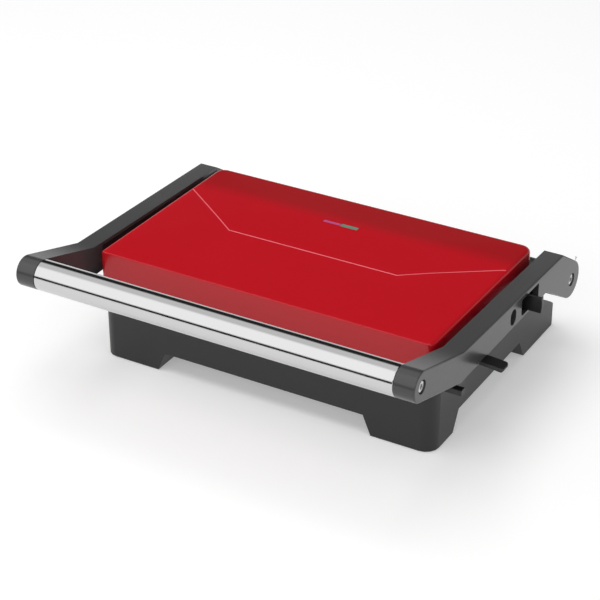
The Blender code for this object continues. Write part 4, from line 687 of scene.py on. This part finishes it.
def lid_facets():
    """A point on each facet's upper edge, and its fall outwards in plan."""
    size = sizes()
    low, high = lid_limits()
    middle = (low.x + high.x) / 2
    half = (high.x - low.x) / 2
    deep = high.y - low.y
    corner = Vector((middle + half, low.y, 0))
    rear = Vector((middle + half * size.plateau_side, low.y + deep * size.plateau_rear, 0))
    along = (rear - corner).normalized()
    out = Vector((along.y, -along.x, 0))
    far = Vector((high.x, high.y, 0))
    fall = out * (size.drop / (far - corner).dot(out))
    mirrored = Vector((2 * middle - rear.x, rear.y, 0))
    return [
        (rear, fall), (mirrored, Vector((-fall.x, fall.y, 0))),
        (rear, Vector((0, size.drop / (high.y - rear.y), 0))),
    ]


def rim(low, high, radii, inset, columns, rows, steps=8):
    """Points round a rounded rectangle moved inwards, with its straight sides divided evenly."""
    tight = 0.0012
    corners = rectangle(
        (low.x + inset, low.y + inset), (high.x - inset, high.y - inset),
        [max(radius - inset, tight) for radius in radii], steps,
    )
    turn = steps + 1
    points = []
    for side, count in enumerate((columns, rows, columns, rows)):
        points += corners[side * turn:(side + 1) * turn]
        start = Vector(corners[side * turn + steps])
        end = Vector(corners[(side + 1) * turn % len(corners)])
        points += [tuple(start.lerp(end, i / count)) for i in range(1, count)]
    return points


def lid_block(name, depth, low_z, columns, rows, rings):
    """The lid's form with a flat top, moved inwards and down by the depth."""
    size = sizes()
    low, high = lid_limits()
    low = low + Vector((depth, depth, 0))
    high = high - Vector((depth, depth, depth))
    corners = (size.front_corner,) * 2 + (size.rear_corner,) * 2
    radii = [max(radius - depth, LEAST_ROUND) for radius in corners]
    outer = rim(low, high, radii, 0, columns, rows)
    step = 1e-5
    inner = rim(low, high, radii, step, columns, rows)
    side_round = max(size.edge - depth, LEAST_ROUND)
    front_round = min(size.front_edge, side_round)
    made = [[(x, y, z) for x, y in outer] for z in (low_z, high.z - side_round)]
    turns = 7
    for k in range(turns + 1):
        turn = pi / 2 * k / turns
        ring = []
        for (x, y), (nx, ny) in zip(outer, inner):
            inward = Vector((nx - x, ny - y)).normalized()
            facing = max(inward.y, 0) ** 2
            radius = side_round + (front_round - side_round) * facing
            inset = radius * (1 - cos(turn))
            ring.append((
                x + inward.x * inset, y + inward.y * inset, high.z - radius * (1 - sin(turn))
            ))
        made.append(ring)
    deepest = (high.y - low.y) / 2 - OVERRUN
    margin = 0.0008
    first = side_round + margin
    for j in range(rings):
        inset = first + (deepest - first) * j / (rings - 1)
        made.append([(x, y, high.z) for x, y in rim(low, high, radii, inset, columns, rows)])
    return loft(name, made)


def crease_plan():
    """Points of the groove in plan, left to right."""
    size = sizes()
    low, high = lid_limits()
    middle = (low.x + high.x) / 2
    half = (high.x - low.x) / 2
    deep = high.y - low.y
    inner = half * size.crease_side
    front = low.y + deep * size.crease_front
    rear = low.y + deep * size.crease_rear
    slope = (rear - front) / (half - inner)
    far = half + OVERRUN
    side_y = front + slope * (far - inner)
    plan = [(-far, side_y), (-inner, front), (inner, front), (far, side_y)]
    return [Vector((middle + x, y)) for x, y in plan]


def crease_tool():
    """Cutter for the groove across the lid's flat top, with soft shoulders."""
    size = sizes()
    plan = crease_plan()
    wide = size.crease_width / 2
    section = [
        (0, -size.crease_depth), (wide * 0.5, -size.crease_depth * 0.6),
        (wide, 0), (wide, OVERRUN), (-wide, OVERRUN), (-wide, 0),
        (-wide * 0.5, -size.crease_depth * 0.6),
    ]
    top = lid_limits()[1].z
    rings = []
    for i, here in enumerate(plan):
        before = plan[i - 1] if i else here * 2 - plan[1]
        after = plan[i + 1] if i < len(plan) - 1 else here * 2 - plan[i - 1]
        into = (here - before).normalized()
        out = (after - here).normalized()
        across = Vector((-into.y - out.y, into.x + out.x)).normalized()
        across = across / across.dot(Vector((-into.y, into.x)))
        rings.append([
            (here.x + across.x * offset, here.y + across.y * offset, top + rise)
            for offset, rise in section
        ])
    return loft("crease tool", rings)


def distance_to(point, start, end):
    """Distance in plan from a point to a straight run."""
    run = end - start
    along = min(max((point - start).dot(run) / run.length_squared, 0), 1)
    return (point - (start + run * along)).length


def mark_crease_highlight(shell):
    """Mark the faces of the groove, where the paint is lightened as a painted highlight."""
    size = sizes()
    plan = crease_plan()
    top = lid_limits()[1].z
    slack = 1.05
    least_rise = 0.2
    low = top - size.crease_depth * slack
    marks = shell.data.attributes.new("crease", "FLOAT", "FACE")
    for face, mark in zip(shell.data.polygons, marks.data):
        centre = Vector(face.center[:2])
        near = min(distance_to(centre, start, end) for start, end in zip(plan, plan[1:]))
        inside = near < size.crease_width / 2 and low < face.center.z < top - MERGE
        mark.value = 1.0 if inside and face.normal.z > least_rise else 0.0


def lens_slots():
    """Cutters for the two lights' slots."""
    high = lid_limits()[1].z
    lip = 0.0007
    side_lip = 0.001
    gap = 0.0002
    tools = []
    for node, left_lip, right_lip in (("power_lens", side_lip, 0), ("ready_lens", 0, side_lip)):
        low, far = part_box(node)
        outline = rectangle(
            (low[0] + left_lip - gap, low[1] + lip), (far[0] - right_lip + gap, far[1] - lip),
            (0.0004,) * 4, 3,
        )
        tools.append(prism("slot", outline, "Z", high - sizes().wall - OVERRUN, high + OVERRUN))
    return tools


def pin_notches():
    """Cutters for the notches over the float pins."""
    low, high = lid_limits()
    pin_low, pin_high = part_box("float_pin_right")
    centre = ((pin_low[1] + pin_high[1]) / 2, (pin_low[2] + pin_high[2]) / 2)
    radius = 0.0029
    notch = [(centre[0] - radius, low.z - OVERRUN), (centre[0] + radius, low.z - OVERRUN)]
    notch += arc(centre, radius, 0, 180, 16)
    reach = sizes().wall * 2
    return [prism("notch", notch, "X", side - reach, side + reach) for side in (low.x, high.x)]


class GRILL_OT_lid_shell(bpy.types.Operator):
    """Make the painted shell with its facets, soft edges, crease and lens slots"""

    bl_idname = "grill.lid_shell"
    bl_label = "Lid shell"

    def execute(self, context):
        size = sizes()
        low, high = lid_limits()
        shell = lid_block("lid_shell", 0, low.z, columns=88, rows=54, rings=34)
        hollow = lid_block("hollow", size.wall, low.z - OVERRUN, columns=12, rows=8, rings=8)
        combine(shell, [hollow, crease_tool()] + lens_slots() + pin_notches(), "DIFFERENCE")
        mark_crease_highlight(shell)
        values = {"Blend": size.blend, "Low": low.z, "Top": high.z, "Rear drop": size.drop,
                  "Material": FINISHES["red"]}
        for i, (edge, fall) in enumerate(lid_facets()):
            values[f"Edge {i}"] = edge
            values[f"Fall {i}"] = fall
        grown(shell, facet_tree(), values)
        smooth(shell, 28)
        adopt(shell, FINISHES["red"], "lid", ["lid_cover"])
        return {"FINISHED"}


class GRILL_OT_moulded_pieces(bpy.types.Operator):
    """Round the edges of the moulded and turned pieces and give them their finishes"""

    bl_idname = "grill.moulded_pieces"
    bl_label = "Moulded pieces"

    def execute(self, context):
        rows = [
            ("base_housing", "base_shell", "base", "housing", 0.0007, "black_plastic"),
            ("lid_frame", "lid_ring", "lid", "frame", 0.0003, "black_plastic"),
            ("latch_slider", "latch_tab", "latch", "tab", 0.0005, "black_plastic"),
            ("release_slider", "release_lever", "release", "tab", 0.0005, "black_plastic"),
            ("cord_gland", "cord_bush", "base", "rubber", 0.0003, "rubber"),
            ("bottom_cover", "floor_sheet", "base", "sheet", 0.0002, "sheet_steel"),
            ("stop_cam", "stop_disc", "base", "fastener", 0.0002, "fastener_steel"),
        ]
        for side in SIDES:
            rows += [
                (f"arm_{side}", f"arm_shell_{side}", "arms", "arm", 0.0003, "arm_plastic"),
                (f"arm_cover_{side}", f"arm_lid_{side}", "arms", "frame", 0.0003, "black_plastic"),
                (f"float_pin_{side}", f"lid_pin_{side}", "float_pins", "pin", 0.0003,
                 "fastener_steel"),
            ]
        rows += [(f"foot_pad_{i}", f"foot_{i}", "base", "rubber", 0.0003, "rubber")
                 for i in range(1, 5)]
        for node, name, body, finish, width, slot in rows:
            piece = soften(merged_copy(node, name), width)
            adopt(piece, FINISHES[finish], body, [node])
        return {"FINISHED"}


class GRILL_OT_handle(bpy.types.Operator):
    """Make the polished handle bar"""

    bl_idname = "grill.handle"
    bl_label = "Handle bar"

    def execute(self, context):
        low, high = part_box("handle_tube")
        radius = (high[1] - low[1]) / 2
        centre = ((low[1] + high[1]) / 2, (low[2] + high[2]) / 2)
        lip = 0.0004
        wall = 0.001
        profile = [
            (low[0], radius - lip), (low[0] + lip, radius), (high[0] - lip, radius),
            (high[0], radius - lip), (high[0], radius - wall), (low[0], radius - wall),
        ]
        bar = smooth(turned("handle_bar", profile, "X", centre, 128, True))
        adopt(bar, FINISHES["steel"], "arms", ["handle_tube"])
        return {"FINISHED"}


class GRILL_OT_screws(bpy.types.Operator):
    """Make the screws of the arms, the bottom and the lid"""

    bl_idname = "grill.screws"
    bl_label = "Screws"

    def execute(self, context):
        tree = screw_tree()
        look = context.scene.grill_screws
        outward = {"left": (0, -pi / 2, 0), "right": (0, pi / 2, 0)}
        paired = {
            name: [(f"{name}_{side}", outward[side]) for side in SIDES]
            for name in ("hinge_screw", "handle_screw")
        }
        rows = (
            ("hinge_screws", "base", paired["hinge_screw"], SIDE_SCREW),
            ("handle_screws", "arms", paired["handle_screw"], SIDE_SCREW),
            ("base_screws", "base", [(f"base_screw_{i}", (pi, 0, 0)) for i in range(1, 5)],
             TAPPING_SCREW),
            ("lid_screws", "lid", [(f"lid_screw_{i}", (0, 0, 0)) for i in range(1, 5)],
             TAPPING_SCREW),
        )
        for name, body, nodes, (shank, head, height, recess) in rows:
            piece = marked_points(name, [self.crown(node, turn) for node, turn in nodes])
            low, high = (Vector(corner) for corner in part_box(nodes[0][0]))
            grown(piece, tree, {
                "Shank radius": shank, "Shank length": max(high - low) - height,
                "Head radius": head, "Head height": height, "Chamfer": look.chamfer,
                "Crown": look.crown, "Recess sides": look.sides, "Recess radius": recess,
                "Recess depth": height * RECESS_SHARE, "Material": FINISHES["fastener"],
            })
            smooth(piece, 30)
            adopt(piece, FINISHES["fastener"], body, [node for node, turn in nodes])
        return {"FINISHED"}

    def crown(self, node, turn):
        """The middle of a screw's crown, where its axis leaves the box of its node."""
        low, high = (Vector(corner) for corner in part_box(node))
        way = Euler(turn).to_matrix() @ Vector((0, 0, 1))
        half = (high - low) / 2
        reach = Vector((way.x * half.x, way.y * half.y, way.z * half.z))
        return (low + high) / 2 + reach, turn


class GRILL_OT_plates(bpy.types.Operator):
    """Make the two cooking plates with their rows of ribs"""

    bl_idname = "grill.plates"
    bl_label = "Cooking plates"

    def execute(self, context):
        size = context.scene.grill_plates
        tree = rib_tree()
        for node, name, body, up in (("lower_plate", "lower_grid", "base", 1),
                                     ("upper_plate", "upper_grid", "lid", -1)):
            low, high = (Vector(corner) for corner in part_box(node))
            crest = high.z if up > 0 else low.z
            floor = crest - up * size.rib_height
            inset = size.flange + size.rim
            dish_low = Vector((low.x + inset, low.y + inset))
            dish_high = Vector((high.x - inset, high.y - inset))
            across = dish_high.x - dish_low.x
            along = dish_high.y - dish_low.y
            count = int((across - 2 * size.rib_end - size.rib_foot) / size.rib_pitch) + 1
            middle = (dish_low + dish_high) / 2
            turn = (0, 0, 0) if up > 0 else (0, pi, 0)
            ribs = marked_points("ribs", [((middle.x, middle.y, floor), turn)])
            grown(ribs, tree, {
                "Count": count, "Pitch": size.rib_pitch, "Length": along - 2 * size.rib_end,
                "Foot": size.rib_foot, "Crest": size.rib_crest, "Height": size.rib_height,
                "Root": size.rib_height / 2, "Material": FINISHES["plate"],
            })
            outline = rectangle(dish_low, dish_high, (size.corner,) * 4, 5)
            dish = prism("dish", outline, "Z", *sorted((floor, crest + up * OVERRUN)))
            plate = combine(merged_copy(node, name), [dish], "DIFFERENCE")
            soften(combine(plate, [ribs], "UNION"), 0.0004, 2)
            adopt(plate, FINISHES["plate"], body, [node])
        return {"FINISHED"}


class GRILL_OT_arm_mark(bpy.types.Operator):
    """Make a plain pointer past the release slider's rod, level with the right arm's outer side"""

    bl_idname = "grill.arm_mark"
    bl_label = "Arm mark"

    def execute(self, context):
        arm_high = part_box("arm_right")[1]
        slider_low, slider_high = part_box("release_slider")
        gap = 0.012
        rise = 0.001
        back = slider_high[1] + gap
        middle = (slider_low[2] + slider_high[2]) / 2 + rise
        long = 0.0030
        tall = 0.0022
        ink = 0.00006
        outline = [(back, middle - tall), (back + long, middle), (back, middle + tall)]
        mark = prism("pointer", outline, "X", arm_high[0] - ink, arm_high[0] + ink)
        adopt(mark, FINISHES["ink"], "arms")
        return {"FINISHED"}


class GRILL_OT_inner_pieces(bpy.types.Operator):
    """Give the heaters, lamps and other inner pieces their finishes"""

    bl_idname = "grill.inner_pieces"
    bl_label = "Inner pieces"

    def execute(self, context):
        dress(["release_spring"], FINISHES["fastener"])
        dress([f"hinge_insert_{side}" for side in SIDES], FINISHES["brass"])
        dress(["lower_heater", "upper_heater"], FINISHES["heater"])
        dress(["lower_reflector", "upper_reflector"], FINISHES["sheet"])
        dress(
            ["lower_thermostat", "upper_thermostat", "thermal_fuse", "terminal_block"],
            FINISHES["ceramic"],
        )
        dress([f"handle_plug_{side}" for side in SIDES], FINISHES["frame"])
        dress(["power_lens"], FINISHES["magenta"])
        dress(["ready_lens"], FINISHES["green"])
        dress(["power_lamp", "ready_lamp"], FINISHES["lamp"])
        dress(["lamp_board"], FINISHES["board"])
        return {"FINISHED"}


# Studio

# Brightness of the room in reflections, by angle round the X axis from the front horizon:
# a dark gap over the table, a front panel, a top panel, a dark ceiling and the rear wall.
ROOM_BANDS = (
    (-180, 0.80), (-6, 0.80), (-5, 0.0), (7, 0.0), (13, 1.35), (78, 1.35), (90, 0.80),
    (122, 0.80), (131, 0.02), (163, 0.02), (170, 0.80), (180, 0.80),
)
# A colour ramp holds values up to 1, so the levels are divided by this and multiplied after it.
RAMP_TOP = 2.0
FLOOR_TONE = 0.82
FLOOR_GLOW = 0.30


def area_lamp(name, place, target, size, power):
    """A soft lamp that faces its target and doesn't show in reflections."""
    data = bpy.data.lights.new(name, "AREA")
    data.shape = "RECTANGLE"
    data.size, data.size_y = size
    data.energy = power
    lamp = linked(name, data)
    lamp.location = place
    lamp.rotation_euler = (Vector(target) - Vector(place)).to_track_quat("-Z", "Y").to_euler()
    lamp.visible_glossy = False
    return lamp


def math_node(nodes, links, operation, first, second):
    """A Math node in a shader."""
    node = nodes.new("ShaderNodeMath")
    node.operation = operation
    for socket, value in zip(node.inputs, (first, second)):
        if isinstance(value, bpy.types.NodeSocket):
            links.new(value, socket)
        else:
            socket.default_value = value
    return node.outputs[0]


def blend_level(nodes, links, factor, first, second):
    """A brightness between two others, each a socket or a plain value."""
    lift = math_node(nodes, links, "SUBTRACT", second, first)
    part = math_node(nodes, links, "MULTIPLY", lift, factor)
    return math_node(nodes, links, "ADD", part, first)


class GRILL_OT_studio(bpy.types.Operator):
    """Set the camera, the pale floor and the soft lamps"""

    bl_idname = "grill.studio"
    bl_label = "Studio"

    def execute(self, context):
        scene = context.scene
        studio = scene.grill_studio
        view = bpy.data.cameras.new("view")
        view.lens = studio.lens
        view.sensor_width = 36
        camera = linked("view", view)
        camera.location = (studio.camera_x, studio.camera_y, studio.camera_z)
        tilt = Euler((pi / 2 - studio.elevation, 0, studio.azimuth)).to_matrix()
        turn = Matrix.Rotation(-studio.roll, 3, "Z")
        camera.rotation_euler = (tilt @ turn).to_euler()
        scene.camera = camera

        self.make_floor(studio.floor)
        self.make_world(scene, studio.room)
        area_lamp("top", (-0.3, -0.1, 1.7), (0, 0, 0.05), (1.6, 1.3), 13)
        area_lamp("front", (0.1, -1.5, 0.9), (0, 0, 0.05), (1.4, 0.7), 4)
        scene.view_settings.view_transform = "Standard"
        return {"FINISHED"}

    def make_floor(self, half):
        """A pale floor that glows a little where it is seen or mirrored."""
        mesh = bmesh.new()
        bmesh.ops.create_grid(mesh, x_segments=1, y_segments=1, size=half)
        floor = from_bmesh("floor", mesh)
        material, nodes, links, shader = new_tree("White floor")
        shader.inputs["Base Color"].default_value = (FLOOR_TONE, FLOOR_TONE, FLOOR_TONE, 1)
        shader.inputs["Roughness"].default_value = 0.9
        shader.inputs["Specular IOR Level"].default_value = 0.0
        paths = nodes.new("ShaderNodeLightPath")
        seen = math_node(
            nodes, links, "MAXIMUM", paths.outputs["Is Camera Ray"], paths.outputs["Is Glossy Ray"]
        )
        shader.inputs["Emission Color"].default_value = (1, 1, 1, 1)
        glow = math_node(nodes, links, "MULTIPLY", seen, FLOOR_GLOW)
        links.new(glow, shader.inputs["Emission Strength"])
        floor.data.materials.append(material)

    def make_world(self, scene, room):
        """A white room that lights evenly and shows its bands only in reflections."""
        world = bpy.data.worlds.new("white room")
        scene.world = world
        world.use_nodes = True
        nodes = world.node_tree.nodes
        links = world.node_tree.links
        way = nodes.new("ShaderNodeTexCoord")
        split = nodes.new("ShaderNodeSeparateXYZ")
        links.new(way.outputs["Generated"], split.inputs[0])
        ahead = math_node(nodes, links, "MULTIPLY", split.outputs["Y"], -1.0)
        around = math_node(nodes, links, "ARCTAN2", split.outputs["Z"], ahead)
        share_round = math_node(nodes, links, "DIVIDE", around, 2 * pi)
        turn = math_node(nodes, links, "ADD", share_round, 0.5)
        bands = nodes.new("ShaderNodeValToRGB")
        links.new(turn, bands.inputs[0])
        stops = bands.color_ramp.elements
        while len(stops) < len(ROOM_BANDS):
            stops.new(0.5)
        for stop, (degrees, level) in zip(stops, ROOM_BANDS):
            stop.position = degrees / 360 + 0.5
        for stop, (degrees, level) in zip(stops, ROOM_BANDS):
            shade = level / RAMP_TOP
            stop.color = (shade, shade, shade, 1)
        mirrored = math_node(nodes, links, "MULTIPLY", bands.outputs[0], RAMP_TOP)
        paths = nodes.new("ShaderNodeLightPath")
        lit = blend_level(nodes, links, paths.outputs["Is Glossy Ray"], room, mirrored)
        seen = math_node(
            nodes, links, "MAXIMUM", paths.outputs["Is Camera Ray"],
            paths.outputs["Is Transmission Ray"],
        )
        shown = blend_level(nodes, links, seen, lit, 1.0)
        links.new(shown, nodes["Background"].inputs["Strength"])
        nodes["Background"].inputs["Color"].default_value = (1, 1, 1, 1)


class GRILL_PT_panel(bpy.types.Panel):
    """The grill's operators and sizes"""

    bl_label = "Contact grill"
    bl_idname = "GRILL_PT_panel"
    bl_space_type = "VIEW_3D"
    bl_region_type = "UI"
    bl_category = "Grill"

    def draw(self, context):
        """List the operators and then every size and colour."""
        for maker in MAKERS:
            self.layout.operator(maker.bl_idname)
        for key in GROUPS:
            group = getattr(context.scene, key)
            for name in group.__annotations__:
                self.layout.prop(group, name)


MAKERS = (
    GRILL_OT_lid_shell,
    GRILL_OT_moulded_pieces,
    GRILL_OT_handle,
    GRILL_OT_screws,
    GRILL_OT_plates,
    GRILL_OT_arm_mark,
    GRILL_OT_inner_pieces,
    GRILL_OT_studio,
)
GROUPS = {
    "grill_lid": LidSizes,
    "grill_plates": PlateSizes,
    "grill_screws": ScrewSizes,
    "grill_colours": FinishColours,
    "grill_studio": StudioSizes,
}


def register():
    """Register the classes and hang the sizes on the scene."""
    for item in (*GROUPS.values(), *MAKERS, GRILL_PT_panel):
        bpy.utils.register_class(item)
    for key, group in GROUPS.items():
        setattr(bpy.types.Scene, key, PointerProperty(type=group))


def unregister():
    """Undo register."""
    for key in GROUPS:
        delattr(bpy.types.Scene, key)
    for item in reversed((*GROUPS.values(), *MAKERS, GRILL_PT_panel)):
        bpy.utils.unregister_class(item)


def main():
    """Make everything in order."""
    register()
    FINISHES.update(make_finishes())
    for maker in MAKERS:
        group, name = maker.bl_idname.split(".")
        getattr(getattr(bpy.ops, group), name)()


if __name__ == "__main__":
    main()
